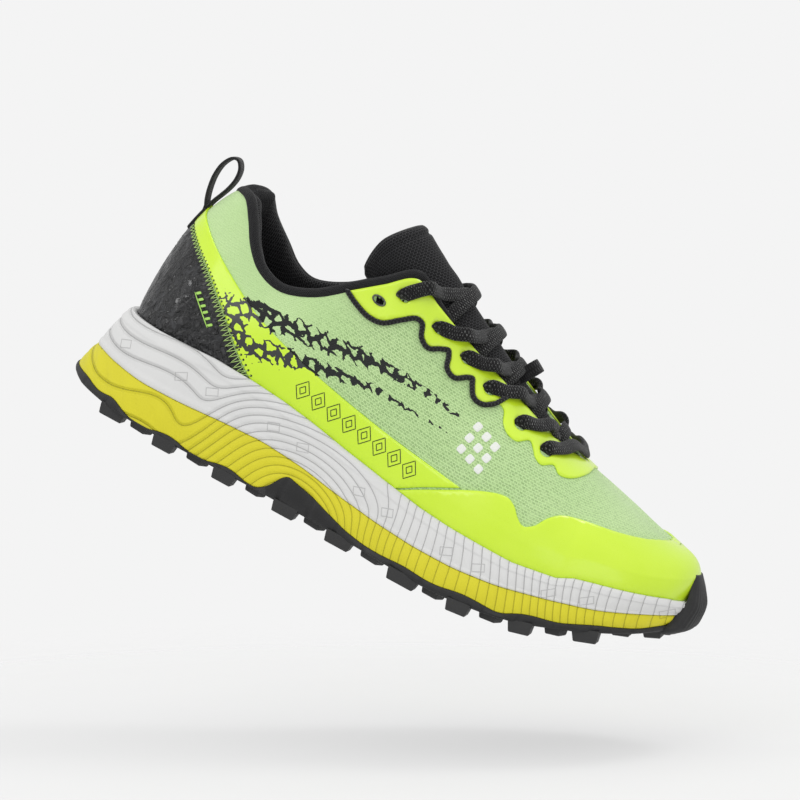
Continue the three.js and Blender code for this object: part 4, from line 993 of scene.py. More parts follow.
# Edges of the films in side view, and their heights on the back of the heel.
HEEL_FILM_TOP, STRIP_LOW, STRIP_HIGH = 93, 93.7, 99
PANEL_EDGE = [(21.5, 89.5), (30, 84), (41, 77), (50, 70), (60, 62), (72, 51.5), (81, 44.6)]
FOXING_LOW = [
    (21.8, 90.1), (30.4, 84.5), (41.4, 77.5), (50.4, 70.5), (60.4, 62.5), (72.4, 52), (81.6, 44.9),
]
FOXING_HIGH = [(26.5, 95.5), (40, 87), (50, 81.3), (62, 75), (72, 70.5), (92, 64), (108, 60), (125, 56.5),
               (140, 54), (155, 52), (170, 50.5), (186.6, 48.7)]
FOXING_TIP = [(186.6, 48.7), (172, 41.0), (161.5, 34.6)]
TOE_REAR = [(161.7, 34.0), (172.6, 40.3), (187.4, 48.2)]
TOE_TOP = [(187.4, 48.2), (195, 51.7), (203, 54.3), (207, 54.4), (211, 52.4), (214, 49.4), (218, 47.2),
           (222, 49.4), (225, 54), (229, 57.4), (235, 59), (255, 61.2), (265, 62.6)]
EYESTAY_EDGE = [
    (101, 99), (108, 95.5), (115, 93.3), (121, 93.7), (127, 98), (133, 102), (137, 101), (140, 95.5),
    (144, 93.3), (148, 95), (152, 96), (154, 93.5), (156, 89), (160, 87.3), (164, 89.5), (167, 90),
    (169, 87), (172, 83.5), (176, 82.8), (180, 85), (184.5, 84), (188, 79), (192, 76.2), (197, 75.3),
    (201, 77.5), (204, 75.5), (207, 72.8), (211, 71.3), (215, 73), (219, 70.8), (223, 70.8),
    (226.5, 72.4), (228.6, 74.6),
]


def heel_panel():
    """Embossed film round the back of the heel."""
    parts = []
    for side in (-1, 1):
        edge = edge_places(side, PANEL_EDGE)
        top = straight((side * 1e-6, height_on_heel(HEEL_FILM_TOP)), edge[0], 8)[:-1]
        foot = straight((edge[-1][0], TUCK), (side * 1e-6, TUCK), 40)
        down = straight(edge[-1], (edge[-1][0], TUCK), 6)[1:-1]
        parts.append(np.vstack([top, edge, down, foot]))
    loop = np.vstack([parts[0], parts[1][::-1]])

    def emboss(sigma, t):
        u, v = surface_mm(sigma, t)
        warp = 1.3 * noise2(u * 0.16 + 9, v * 0.1, 5)
        ridges = 1 - np.abs(noise2(u * 0.33 + warp, v * 0.16 + warp, 6)) * 2
        return 0.35 * np.clip(ridges, -0.4, 1) * np.clip((v - 1) / 4, 0, 1)

    points, faces, surf = film_patch(without_repeats(loop), pitch=(0.085, 0.0125), relief=emboss)
    obj = make("heel_film", points, faces, layers=[("surf", surf)])
    return finish_piece(obj, PAINT["heel"], "heel_film", "heel_panel")


def foxing(side, name):
    """Neon strip from the arch to the heel's back."""
    low = edge_places(side, FOXING_LOW)
    high = edge_places(side, FOXING_HIGH)
    tip = edge_places(side, FOXING_TIP)[1:]
    from_heel = straight((side * 0.02, height_on_heel(STRIP_LOW)), low[0], 8)[:-1]
    to_heel = straight(high[0], (side * 0.02, height_on_heel(STRIP_HIGH)), 8)[1:]
    down = straight(low[-1], (low[-1][0], TUCK), 5)[1:]
    foot = straight((low[-1][0], TUCK), (tip[-1][0], TUCK), 70)[1:]
    rise = straight((tip[-1][0], TUCK), tip[-1], 5)[1:-1]
    loop = np.vstack([from_heel, low, down, foot, rise, tip[::-1], high[::-1], to_heel])
    points, faces, surf = film_patch(without_repeats(loop), pitch=(0.1, 0.02))
    obj = make(name + "_film", points, faces, layers=[("surf", surf), ("print", print_amount(points))])
    return finish_piece(obj, PAINT["printed_film"], "neon_film", name)


TOE_RIDGE = 22.15                    # rib place where the toe film reaches the ridge


def toe_overlay():
    """Neon film round the toe, with a shallow raised line above its edge."""
    halves = []
    for side in (-1, 1):
        rear = edge_places(side, TOE_REAR)
        top = edge_places(side, TOE_TOP)
        rise = straight(top[-1], (side * TOE_RIDGE, 1.0), 8)[1:]
        ridge = straight((side * TOE_RIDGE, 1.0), (side * LAST, 1.0), 16)[1:]
        foot = straight((side * LAST, TUCK), (rear[0][0], TUCK), 80)
        back = straight((rear[0][0], TUCK), rear[0], 5)[1:-1]
        halves.append(np.vstack([foot, back, rear, top[1:], rise, ridge]))
    # One domain through the toe: the lateral half is carried past the last rib.
    lateral, medial = halves
    loop = np.vstack([medial[1:], (lateral + [2 * LAST, 0])[::-1][1:-1]])

    def inner_ridge(sigma, t):
        _, v = surface_mm(np.where(sigma > LAST, 2 * LAST - sigma, sigma), t)
        return 0.18 * np.exp(-((v - 9.5) / 0.9) ** 2)

    loop = without_repeats(loop)
    points, faces, surf = film_patch(loop, pitch=(0.1, 0.025), ridge=True, relief=inner_ridge)
    obj = make("toe_film", points, faces, weld=WELD_FILM, layers=[("surf", surf)])
    return finish_piece(obj, PAINT["film"], "neon_film", "toe_overlay")


def turned(x, z, px, pz, tilt):
    """Side-view points (px, pz), turned by tilt and moved to (x, z)."""
    c, s = math.cos(tilt), math.sin(tilt)
    return x + px * c - pz * s, z + px * s + pz * c


def oval_hole(side, x, z, rx, rz, tilt):
    a = np.linspace(0, 2 * np.pi, 21)[:-1]
    return locate(side, *turned(x, z, rx * np.cos(a), rz * np.sin(a), tilt))


EYESTAY_FRONT = 17.3                 # rib place where the eyestay's front edge reaches the ridge, at least


def eyestay():
    """Neon film round the throat, with its lace holes and the spare slot."""
    parts, layer = [], []
    for side in (-1, 1):
        edge = edge_places(side, EYESTAY_EDGE, 1.0)
        last = abs(edge[-1][0])
        front = straight((last, edge[-1][1]), (max(last, EYESTAY_FRONT), 1.0), 5)[1:]
        ridge = straight((front[-1][0], 1.0), (THROAT_END, 1.0), 4)[1:]
        throat = straight((THROAT_END, 1.0), (abs(edge[0][0]) - 0.1, 1.0), 110)[1:]
        tail = straight((throat[-1][0], 1.0), (abs(edge[0][0]), edge[0][1]), 8)[1:-1]
        upper = np.vstack([front, ridge, throat, tail])
        upper[:, 0] *= side
        loop = np.vstack([edge, upper])
        holes = [oval_hole(side, x, z, 3.0, 1.9, -0.45) for x, z in HOLES]
        holes.append(oval_hole(side, *SLOT, 2.8, 1.35, -0.17))
        points, faces, surf = film_patch(without_repeats(loop), holes, pitch=(0.07, 0.02), ridge=True)
        parts.append((points, faces))
        layer.append(surf)
    points, faces = joined(parts)
    obj = make("eyestay_film", points, faces, weld=WELD_FILM, layers=[("surf", np.vstack(layer))])
    return finish_piece(obj, PAINT["film"], "neon_film", "eyestay")


# ------------------------------------------------------------------ sole
# How far the sole stands out from the bite line, over the ribs: at its rim, foam seam and base.
FLARE_RIM = [(0, 3.8), (3, 3), (6, 2.8), (22, 2.6), (24, 2.2)]
FLARE_SEAM = [(0, 11.3), (2, 8), (4, 6), (8, 5), (16, 4.6), (21, 3.6), (24, 2.2)]
FLARE_BASE = [(0, 16), (2, 11), (4, 8), (8, 6), (16, 5.6), (21, 4), (24, 1)]


def base_ring(out):
    """Plan position of every column, out millimetres beyond the bite line."""
    bite, _, _, _, n = rib(SIGMA)
    return bite + n * np.asarray(out, float)[..., None] * [1, 1, 0]


def ring_at(out, z):
    """The same ring at heights z."""
    ring = base_ring(out)
    ring[:, 2] = z
    return ring


def flare(table):
    return rounded(table, np.abs(SIGMA), 0.8)


def rubber_edge(x):
    """Top edge of the rubber, a little thicker over each outer lug."""
    wave = 1.15 * np.cos(2 * np.pi * (x - 33) / 29.3)
    heel = np.clip((x - 20) / 10, 0, 1) * np.clip((110 - x) / 6, 0, 1)
    fore = np.clip((x - 160) / 20, 0, 1) * np.clip((270 - x) / 30, 0, 1)
    return rounded(RUBBER_TOP, x, 2.5) + wave * heel + 0.45 * wave * fore


def topo_lines(x, z):
    """Contour number of the engraved lines: sparse and wavy at the heel, nested arcs in the middle,
    upright lines towards the toe."""
    heel = 11.6 + 0.105 * z + 0.028 * x + 0.75 * np.sin(x / 15 + 0.6) + 0.3 * np.sin(z / 6)
    bent = x + 2.2 * np.sin(z / 7 + x / 31)
    arcs = np.hypot((bent - 123) / 1.4, z - 3) ** 0.92 / 2.2
    fore = (x + 0.30 * z + 1.6 * np.sin(z / 9 + x / 24) + 1.8 * np.sin(x / 13)) / 4.1 - 29.2
    into_arcs = 1 / (1 + np.exp(-(x - 72 - 0.3 * (z - 25)) / 4.0))
    into_fore = 1 / (1 + np.exp(-(x - 156 + 6 * np.sin(z / 6)) / 4.5))
    return heel * (1 - into_arcs) + (arcs * (1 - into_fore) + fore * into_fore) * into_arcs


def above_middle(x, z):
    """Millimetres above the line that carries the row of engraved squares."""
    return z - (0.42 * rounded(FOAM_SEAM, x, 4) + 0.58 * rounded(BITE, x, 4)) + 3.0


def topo_and_slope(x, z):
    """Contour number and how much it changes over a millimetre."""
    e = 0.05
    f = topo_lines(x, z)
    slope = np.hypot(topo_lines(x + e, z) - f, topo_lines(x, z + e) - f) / e
    return f, np.maximum(slope, 0.02)


def foam_layers(points):
    """Contour number, its pitch in millimetres and the squares' height, for the foam's material."""
    x, z = points[:, 0], points[:, 2]
    f, slope = topo_and_slope(x, z)
    return [("topo", f), ("pitch", 1 / slope), ("lines", above_middle(x, z))]


def groove_depth(points, depth):
    """How deep the engraved lines are sunk."""
    f, slope = topo_and_slope(points[..., 0], points[..., 2])
    away = np.abs(f - np.floor(f) - 0.5) / slope
    return depth * np.exp(-((away / 0.55) ** 2))


FACET_PITCH = 9.5                    # millimetres from tooth to tooth of the heel's facets


def sole_wall(low_out, low_z, high_out, high_z, rows, bulge=0.0, depth=0.22, ledge=0.0, notches=False):
    """Rings of a foam wall from its lower to its upper edge, with the engraving sunk in."""
    rings = []
    n = rib(SIGMA)[4]
    for k in range(rows):
        f = k / (rows - 1)
        out = low_out * (1 - f) + high_out * f + bulge * math.sin(math.pi * f)
        ring = ring_at(out, low_z * (1 - f) + high_z * f)
        sink = groove_depth(ring, depth) * math.sin(math.pi * f) ** 0.25
        if ledge and f < 0.16:
            sink = sink - ledge * math.sin(math.pi * f / 0.16)
        if ledge and f > 0.76:
            sink = sink - 0.55 * min(1.0, (f - 0.76) / 0.06)
        if notches:
            x, z = ring[:, 0], ring[:, 2]
            heel_only = np.clip((112 - x) / 8, 0, 1)
            tooth = ((x + 0.75 * (z - low_z)) / FACET_PITCH) % 1.0
            sink = sink + 0.75 * np.abs(tooth - 0.3) * math.sin(math.pi * f) * heel_only
        rings.append(ring - n * sink[:, None])
    return rings


def midsole_white():
    """White foam: a wall from the foam seam up, and a rounded lip under the upper."""
    seam_out, rim_out = flare(FLARE_SEAM), flare(FLARE_RIM) + 0.7
    seam = rounded(FOAM_SEAM, base_ring(seam_out)[:, 0], 4) + 0.15
    lip = rib(SIGMA)[0][:, 2] + 0.2
    rings = [ring_at(seam_out - 6, seam)]
    rings += sole_wall(seam_out, seam, rim_out, lip - 1.2, 34, 0.9, ledge=0.45)
    for turn in (25, 50, 75, 90):
        a = math.radians(turn)
        rings.append(ring_at(rim_out - 1.1 * (1 - math.cos(a)), lip - 1.2 + 1.2 * math.sin(a)))
    rings += [ring_at(out, lip - drop) for out, drop in ((1.15, 0.1), (0.9, 5.0), (-4.0, 6.2))]
    points, faces = ring_stack(rings)
    obj = make("midsole_white", points, faces, layers=foam_layers(points))
    return finish_piece(obj, PAINT["white"], "white_foam", "midsole_upper")


def midsole_yellow():
    """Yellow foam: a wall from the rubber's edge up to the foam seam, with facets at the heel."""
    base_out, seam_out = flare(FLARE_BASE), flare(FLARE_SEAM)
    x_low = base_ring(base_out)[:, 0]
    seam = rounded(FOAM_SEAM, base_ring(seam_out)[:, 0], 4) - 0.15
    low = rubber_edge(x_low) + 0.1
    floor_z = np.maximum(low - 1.0, along(SHEET_BOTTOM, x_low) + 1.6)
    rings = [ring_at(base_out - 8, floor_z), ring_at(base_out - 1.5, np.maximum(low - 0.2, floor_z))]
    rings += sole_wall(base_out - 0.3, low, seam_out + 0.1, seam, 30, 0.8, notches=True)
    rings.append(ring_at(seam_out - 6, seam))
    points, faces = ring_stack(rings)
    obj = make("midsole_yellow", points, faces, layers=foam_layers(points))
    return finish_piece(obj, PAINT["yellow"], "yellow_foam", "midsole_lower")


LUG_DEPTH = 4.2
# Lug outlines in plan, one unit long and wide.
BLOCK = [(-0.5, -0.5), (0.5, -0.5), (0.5, 0.5), (-0.5, 0.5)]
CHEVRON = [(-0.5, -0.15), (0.0, -0.5), (0.5, -0.15), (0.5, 0.5), (0.0, 0.12), (-0.5, 0.5)]
EDGE_LUG = [(-0.5, -0.5), (0.5, -0.5), (0.5, 0.1), (0.24, 0.5), (-0.24, 0.5), (-0.5, 0.1)]


def lug_mesh(outline, x, y, length, width, turn=0.0, depth=LUG_DEPTH):
    """A tapered lug with a bevelled foot, square to the underside at x."""
    around = np.array(outline) * [length, width]
    c, s = math.cos(turn), math.sin(turn)
    slope = math.atan2(float(along(SHEET_BOTTOM, x + 4) - along(SHEET_BOTTOM, x - 4)), 8)
    level = float(along(SHEET_BOTTOM, x))
    rings = []
    for share, grow in ((1.6, 1.12), (0.2, 1.1), (-depth + 0.5, 0.96), (-depth, 0.88)):
        flat = around * grow
        px, py = flat[:, 0] * c - flat[:, 1] * s, flat[:, 0] * s + flat[:, 1] * c
        px, pz = (px * math.cos(slope) - share * math.sin(slope),
                  px * math.sin(slope) + share * math.cos(slope))
        rings.append(np.stack([px + x, py + y, np.maximum(pz + level, 0.0)], 1))
    return tube_mesh(np.array(rings))


def sole_edge(side, x):
    """The y of the sole's base edge beside the bite point at x."""
    s = np.linspace(0, LAST, 600)
    bite, _, _, _, n = rib(side * np.maximum(s, 1e-6))
    out = bite + n * along(FLARE_BASE, s)[:, None]
    return float(out[int(np.argmin(np.abs(bite[:, 0] - x))), 1])


def lugs():
    """Long and short lugs along both edges, two rows of chevrons, and blocks at the heel and the toe."""
    parts = []
    outer = [(33.5, 11), (61.5, 9.5), (91.5, 9.5), (122, 10.5), (149.5, 11.5), (182.5, 13), (209.5, 9.5),
             (236.5, 9.5), (262, 10.5)]
    short = [(47.5, 8), (76.5, 8), (105.5, 7), (135.5, 8), (165.5, 9), (196.5, 8), (223, 8), (249.5, 7)]
    for side in (-1, 1):
        for x, length in outer:
            y = sole_edge(side, x)
            parts.append(lug_mesh(EDGE_LUG, x, y - side * 6.6, length, 13, math.pi if side > 0 else 0.0))
        for x, length in short:
            y = sole_edge(side, x)
            parts.append(lug_mesh(BLOCK, x, y - side * 10.5, length, 7.5, side * 0.3, 3.2))
        for x in range(40, 262, 14):
            if 108 < x < 136:
                continue
            y = side * (15.5 if x > 140 else 10.5) + (0.6 if x > 200 else 0)
            parts.append(lug_mesh(CHEVRON, x, y, 8.5, 14, -math.pi / 2, 3.8))
    for x, width in ((27, 24), (14, 16)):
        parts.append(lug_mesh(BLOCK, x, 0, 7.5, width, 0, 3.6))
    for x in range(150, 262, 14):
        parts.append(lug_mesh(CHEVRON, x + 7, 1.5, 8, 11, -math.pi / 2, 3.4))
    for x, width in ((272, 34), (284, 24)):
        parts.append(lug_mesh(BLOCK, x, 4, 7.5, width, 0, 3.8))
        parts.append(lug_mesh(BLOCK, x + 5.5, 4, 2.6, width * 0.7, 0, 2.4))
    return parts


def toe_bumper():
    """The rubber that runs up in front of the toe cap."""
    count = 60
    across = np.linspace(-1, 1, count)
    rows = np.linspace(0, 5, 26)
    reach = curve_through([[1.75], [1.72], [1.5], [1.2], [0.98], [0.8]], rows / 5)[:, 0]

    def low(out, z_of):
        def at(sigma):
            bite, _, _, _, n = rib(sigma)
            p = bite + n * along(out[0], split(sigma)[1])[:, None] + n * out[1]
            return np.stack([p[:, 0], p[:, 1], z_of(p[:, 0], bite[:, 2])], 1)
        return at

    places = [
        low((FLARE_BASE, -3), lambda x, z: along(SHEET_BOTTOM, x) + 0.8),
        low((FLARE_BASE, 0.4), lambda x, z: rubber_edge(x) - 0.4),
        low((FLARE_SEAM, 0.4), lambda x, z: along(FOAM_SEAM, x)),
        low((FLARE_RIM, 0.6), lambda x, z: z + 0.4),
        lambda sigma: off_skin(sigma, np.full(len(sigma), 0.22), np.full(len(sigma), FILM_TOP + 0.1)),
        lambda sigma: off_skin(sigma, np.full(len(sigma), 0.40), np.full(len(sigma), FILM_TOP + 0.05)),
    ]
    thick = curve_through([[5], [5.8], [5.4], [4.6], [3.0], [0.9]], rows / 5)[:, 0]
    fade = np.sqrt(np.clip(1 - np.abs(across) ** 6, 0, 1)) * 0.9 + 0.1
    inner = np.zeros((count, len(rows), 3))
    push = np.zeros((count, len(rows), 3))
    for k in range(len(rows)):
        sigma = -LAST - across * reach[k]
        column = np.stack([place_of(sigma) for place_of in places], 1)
        inner[:, k] = np.stack([curve_through(column[i], rows[k] / 5) for i in range(count)])
        push[:, k] = rib(sigma)[4]
    ribs = 0.35 * (np.sin(across * 21)[:, None] * np.sin(rows / 5 * np.pi)[None, :]) ** 2
    outer = inner + push * (thick[None, :] * fade[:, None] - ribs)[..., None]
    return closed_shell(outer, inner)


def outsole():
    """Rubber sheet with its lugs, its grooved edge and the toe bumper."""
    base_out = flare(FLARE_BASE)
    x = base_ring(base_out)[:, 0]
    under, top = along(SHEET_BOTTOM, x), rubber_edge(x)
    core_z = rounded(SHEET_BOTTOM, base_ring(-12.0)[:, 0], 3)
    groove = 0.35 * (np.abs(np.sin(x / 29.3 * 2 * np.pi)) < 0.16)
    rings = [
        ring_at(-12.0, core_z + 0.4),
        ring_at(base_out - 6, rounded(SHEET_BOTTOM, x, 3)),
        ring_at(base_out - 2.5, under + 0.05),
        ring_at(base_out - 0.6, under + 0.5),
        ring_at(base_out + 0.35 - groove, under + 1.5),
        ring_at(base_out + 0.5 - groove, (under + top) / 2),
        ring_at(base_out + 0.45 - groove, top - 0.6),
        ring_at(base_out + 0.05, top),
        ring_at(base_out - 1.2, top - 0.1),
        ring_at(-12.0, core_z + 2.6),
    ]
    points, faces = joined([ring_stack(rings), *lugs(), toe_bumper()])
    obj = make("outsole_tread", points, faces)
    for polygon in obj.data.polygons:
        polygon.use_smooth = True
    obj.data.set_sharp_from_angle(angle=math.radians(32))
    return finish_piece(obj, PAINT["rubber"], "outsole_rubber", "outsole")


# ------------------------------------------------------------------ collar and inside
def collar_binding():
    """Rolled edge of the collar."""
    reach = 11.6
    sigma = np.linspace(-reach, reach, 420)
    top = skin(sigma, np.ones_like(sigma))
    up = unit(top - skin(sigma, np.full_like(sigma, 0.95)))
    n = normal(sigma, np.ones_like(sigma))
    fade = np.clip((reach - np.abs(sigma)) / 1.6, 0, 1)
    rise = np.interp(sigma, [-1.5, 1.5], [1.9, 0.9]) * (0.55 + 0.45 * fade)
    path = top - n * 1.55 + up * rise[:, None]
    rings = tube(path, up, 2.35 * (0.6 + 0.4 * fade), 2.35 * (0.55 + 0.45 * fade), 20, 0.82)
    points, faces = tube_mesh(rings)
    run = run_along(path)
    around = np.arange(20) * 0.75
    surf = np.stack([np.repeat(run, 20), np.tile(around, len(run)), np.zeros(20 * len(run))], 1)
    obj = make("collar_edge", points, faces, layers=[("surf", surf)])
    return finish_piece(obj, PAINT["binding"], "binding_knit", "collar_binding")


# The padded collar in section: depth inside the skin and height above the upper's top edge.
ROLL = [(1.0, -1.5), (1.3, 1.4), (2.4, 3.5), (4.2, 4.7), (6.3, 4.8), (8.2, 3.8), (9.5, 1.8), (10.2, -1.2),
        (10.3, -5.5), (9.8, -11), (8.6, -17), (6.8, -24), (4.8, -31), (3.2, -38)]


def collar_lining():
    """The padded collar: a roll inside the binding, and the lining down to the sock liner."""
    reach = 10.4
    sigma = np.linspace(-reach, reach, 340)
    s = np.abs(sigma)
    section = curve_through(ROLL, np.linspace(0, 1, 66))
    plump = np.interp(s, [0, 2, 5, 8, 9.6, reach], [1, 1, 0.86, 0.6, 0.3, 0.08])[:, None]
    proud = np.interp(s, [0, 2, 5, 8, reach], [1, 1, 0.85, 0.6, 0.2])[:, None]
    depth = 1.2 + (section[None, :, 0] - 1.2) * plump
    height = section[None, :, 1] * np.where(section[None, :, 1] > 0, proud, 1.0)
    bite, _, _, top, _ = rib(sigma)
    long = (np.linalg.norm(top - bite, axis=1) * RIB_BOW)[:, None]
    t = 1 + np.minimum(height, 0) / long
    ss = np.repeat(sigma[:, None], height.shape[1], 1)
    depth = depth + 0.3 * noise2(ss * 2.2, height * 0.16, 11) * plump
    rise = unit(top - skin(sigma, np.full(len(sigma), 0.95)))
    roll = off_skin(ss, np.clip(t, 0, 1), -depth) + rise[:, None] * np.maximum(height, 0)[..., None]
    foot_t = np.linspace(0, 1, 20)[None, 1:] * (-0.5 - t[:, -1:]) + t[:, -1:]
    foot_depth = np.full(foot_t.shape, 2.6) + (depth[:, -1:] - 2.6) * np.linspace(1, 0, 20)[None, 1:]
    foot = off_skin(np.repeat(sigma[:, None], 19, 1), np.clip(foot_t, -1, 1), -foot_depth)
    face = np.concatenate([roll, foot], 1)
    back_t = np.concatenate([np.clip(t, 0, 1), foot_t], 1)
    cols = np.repeat(sigma[:, None], back_t.shape[1], 1)
    back = off_skin(cols, np.clip(back_t, -1, 1), np.full_like(back_t, -1.6))
    sink = np.concatenate([np.maximum(height, 0) * 0.35, np.zeros_like(foot_t)], 1)
    back = back + rise[:, None] * sink[..., None]
    points, faces = closed_shell(face, back)
    u, _ = surface_mm(cols, np.clip(back_t, 0, 1))
    step = np.linalg.norm(np.diff(face, axis=1), axis=2)
    run = np.concatenate([np.zeros((len(sigma), 1)), np.cumsum(step, 1)], 1)
    surf = np.stack([run, u, np.zeros_like(u)], -1).reshape(-1, 3)
    obj = make("collar_pad", points, faces, layers=[("surf", np.vstack([surf, surf]))])
    finish_piece(obj, PAINT["spacer"], "lining_mesh", "collar_padding", "collar_lining")


def sock_liner():
    """Cupped sock liner on the lasting board."""
    rings = []
    for inset, z in ((7.6, 1.55), (7.4, 3.2), (7.5, 5.2), (8.2, 6.0), (10, 5.7), (13, 5.4)):
        p = off_skin(SIGMA, np.full(len(SIGMA), -0.9), np.full(len(SIGMA), -inset))
        p[:, 2] = rib(SIGMA)[0][:, 2] - HEM + z
        rings.append(p)
    points, faces = ring_stack(rings)
    surf = np.stack([points[:, 0], points[:, 1], np.zeros(len(points))], 1)
    obj = make("sock_liner_pad", points, faces, body="sock_liner", layers=[("surf", surf)])
    return finish_piece(obj, PAINT["sock"], "sock_liner", "insole")


# ------------------------------------------------------------------ tongue
# Cross rows of the tongue's face, from its free end to the toe, each from the lateral to the medial side.
TONGUE_ROWS = np.array([
    [(99, -24.5, 112), (105, -20, 126), (112, 1, 136), (105, 20.5, 127), (99, 24, 113)],
    [(106, -20, 104), (114, -19, 118), (123, 1, 129.5), (114, 20, 119.5), (106, 19.5, 105)],
    [(118, -19, 98.5), (127, -16.5, 111), (136, 1.5, 122.5), (127, 19.5, 112), (118, 20.5, 99.5)],
    [(139, -18.5, 94), (144, -16.5, 104), (150, 2, 114), (144, 20, 105), (139, 22, 95)],
    [(157, -18.5, 87), (161, -15.5, 97), (166, 2.5, 105), (161, 20, 98), (157, 22.5, 88)],
    [(175, -17, 80), (178, -13.5, 89), (182, 3, 96), (178, 18.5, 89.8), (175, 21, 81)],
    [(195, -14, 74), (197, -10.5, 81), (199, 3.5, 87.2), (197, 17, 81.5), (195, 20, 75)],
    [(212, -9, 70), (213, -6, 74), (214, 3.5, 78.2), (213, 12.5, 74.5), (212, 16, 70.5)],
    [(226, -4, 67), (226, -2, 68.8), (226, 3.5, 70.8), (226, 9, 69), (226, 11, 67)],
], float)
TONGUE_LAST = len(TONGUE_ROWS) - 1


def tongue_skin(r, u):
    """Point of the tongue's face at row r and share u across."""
    column = np.stack([curve_through(row, u) for row in TONGUE_ROWS])
    return curve_through(column, r / TONGUE_LAST)


def tongue_normal(r, u):
    e = 0.02
    dr = tongue_skin(min(r + e, TONGUE_LAST), u) - tongue_skin(max(r - e, 0), u)
    du = tongue_skin(r, min(u + e, 1)) - tongue_skin(r, max(u - e, 0))
    return unit(np.cross(dr, du))


def tongue():
    """The whole padded tongue; its free end bends over the hinge line."""
    rs = np.r_[np.linspace(0, 2.6, 46), np.linspace(2.75, TONGUE_LAST, 54)]
    us = np.linspace(0, 1, 49)
    columns = [np.stack([curve_through(row, u) for row in TONGUE_ROWS]) for u in us]
    corner = np.clip((np.abs(us - 0.5) - 0.27) / 0.23, 0, 1)
    start = 0.78 * (1 - np.sqrt(1 - corner**2 * 0.995))           # rounds the free end's corners
    mine = [np.where(rs < 2.6, start[k] + rs * (2.6 - start[k]) / 2.6, rs) for k in range(len(us))]
    face = np.stack([curve_through(columns[k], mine[k] / TONGUE_LAST) for k in range(len(us))], 1)
    n = unit(np.cross(np.gradient(face, axis=0), np.gradient(face, axis=1)))
    r, u = np.meshgrid(rs, us, indexing="ij")
    side = np.sin(np.pi * u)
    thick = np.interp(r, [0, 0.6, 1.4, 3, 8], [5.0, 7.2, 6.6, 3.8, 3.4])
    rim_u = np.clip(np.minimum(u, 1 - u) / 0.09, 0, 1)
    rim_r = np.clip(r / 0.32, 0, 1)
    rim = np.sqrt(np.clip(1 - (1 - np.minimum(rim_u, rim_r)) ** 2, 0, 1))
    seam = np.exp(-((np.minimum(np.minimum(u, 1 - u) / 0.1, r / 0.42) - 1) / 0.16) ** 2) * (r < 3.5)
    puff = 0.5 * side * np.clip(1.6 - r, 0, 1) + 0.28 * noise2(r * 2.4, u * 5, 21)
    top = face + n * ((puff - 0.75 * seam) * rim - (1 - rim) * thick * 0.45)[..., None]
    under = face - n * (thick * (0.45 + 0.55 * rim))[..., None]
    points, faces = closed_shell(top, under)
    run = np.repeat(run_along(face[:, len(us) // 2])[:, None], len(us), 1)
    width = np.linalg.norm(np.diff(face, axis=1), axis=-1).sum(1)
    surf = np.stack([(u - 0.5) * width[:, None], run, 0 * u], -1).reshape(-1, 3)
    obj = make("tongue_pad", points, faces, weld=WELD_FINE, layers=[("surf", np.vstack([surf, surf]))])
    return finish_piece(obj, PAINT["tongue"], "lining_mesh", "tongue_top", "tongue_base")


# ------------------------------------------------------------------ lace, on the CAD route
LACE_WIDE, LACE_THICK = 3.25, 1.05   # half the lace's width and thickness
LACE_OVER, LACE_UNDER = 2.15, 3.0    # its middle outside and inside the skin, beside the holes
CROSSING_LIFT = 2.6                  # how much the upper bar of a crossing is raised
ARRIVE, LEAVE = 0.75, -0.1           # ribs from a hole to where the lace comes over and goes under the edge
# The lace's ends inside the shoe.
TAIL = {
    -1: [(127, -23.5, 99.5), (137, -25, 92), (149, -26, 84.5), (163, -27, 76.5), (178, -27, 69),
         (192, -25, 62), (204, -22, 56.5)],
    1: [(127, 23.5, 99.5), (137, 25.5, 92), (149, 27.5, 84.5), (163, 29, 76.5), (178, 29, 69),
        (192, 27, 62), (204, 24, 56.5)],
}
ROWS_AT = np.arange(1, TONGUE_LAST, 0.05)
SHOULDER_X = np.array([tongue_skin(r, 0.25)[0] for r in ROWS_AT])
HOLE_AT = {side: locate(side, *np.array(HOLES).T) for side in (-1, 1)}


def on_tongue(x, u, lift, sign):
    """A stop of the lace on the tongue at x: its place and its upper side."""
    past = SHOULDER_X >= x
    r = float(ROWS_AT[int(np.argmax(past)) if past.any() else -1])
    n = tongue_normal(r, u)
    return tongue_skin(r, u) + n * (LACE_THICK + 0.35) + tongue_normal(r, 0.5) * lift, n * sign


def through_hole(side, row, sign):
    """The lace's stops through a hole: over the edge, down through the film and away under it."""
    sigma, t = HOLE_AT[side][row]
    s = abs(sigma)
    n = normal(sigma, t)
    down = unit(skin(sigma, t - 0.05) - skin(sigma, t + 0.05))
    here = skin(sigma, t)

    def at(ds, level, distance):
        return off_skin(side * (s + ds), t + (1 - t) * level, np.array(distance))

    high = 2.0 if row >= 3 else 2.6
    return [
        (at(ARRIVE, 1, LACE_OVER + high), n * sign),
        (at(ARRIVE * 0.6, 0.5, LACE_OVER + 0.4), n * sign),
        (here + n * 2.1 + down * 0.1, (n + down) * sign),
        (here - n * 0.9 + down * 0.6, down * sign),
        (at(-LEAVE * 0.3, 0.1, -LACE_UNDER - 0.9), (n - down * 0.6) * -sign),
        (at(-LEAVE * 0.7, 0.5, -LACE_UNDER - 0.2), n * -sign),
        (at(-LEAVE, 0.9, -LACE_UNDER), n * -sign),
    ]


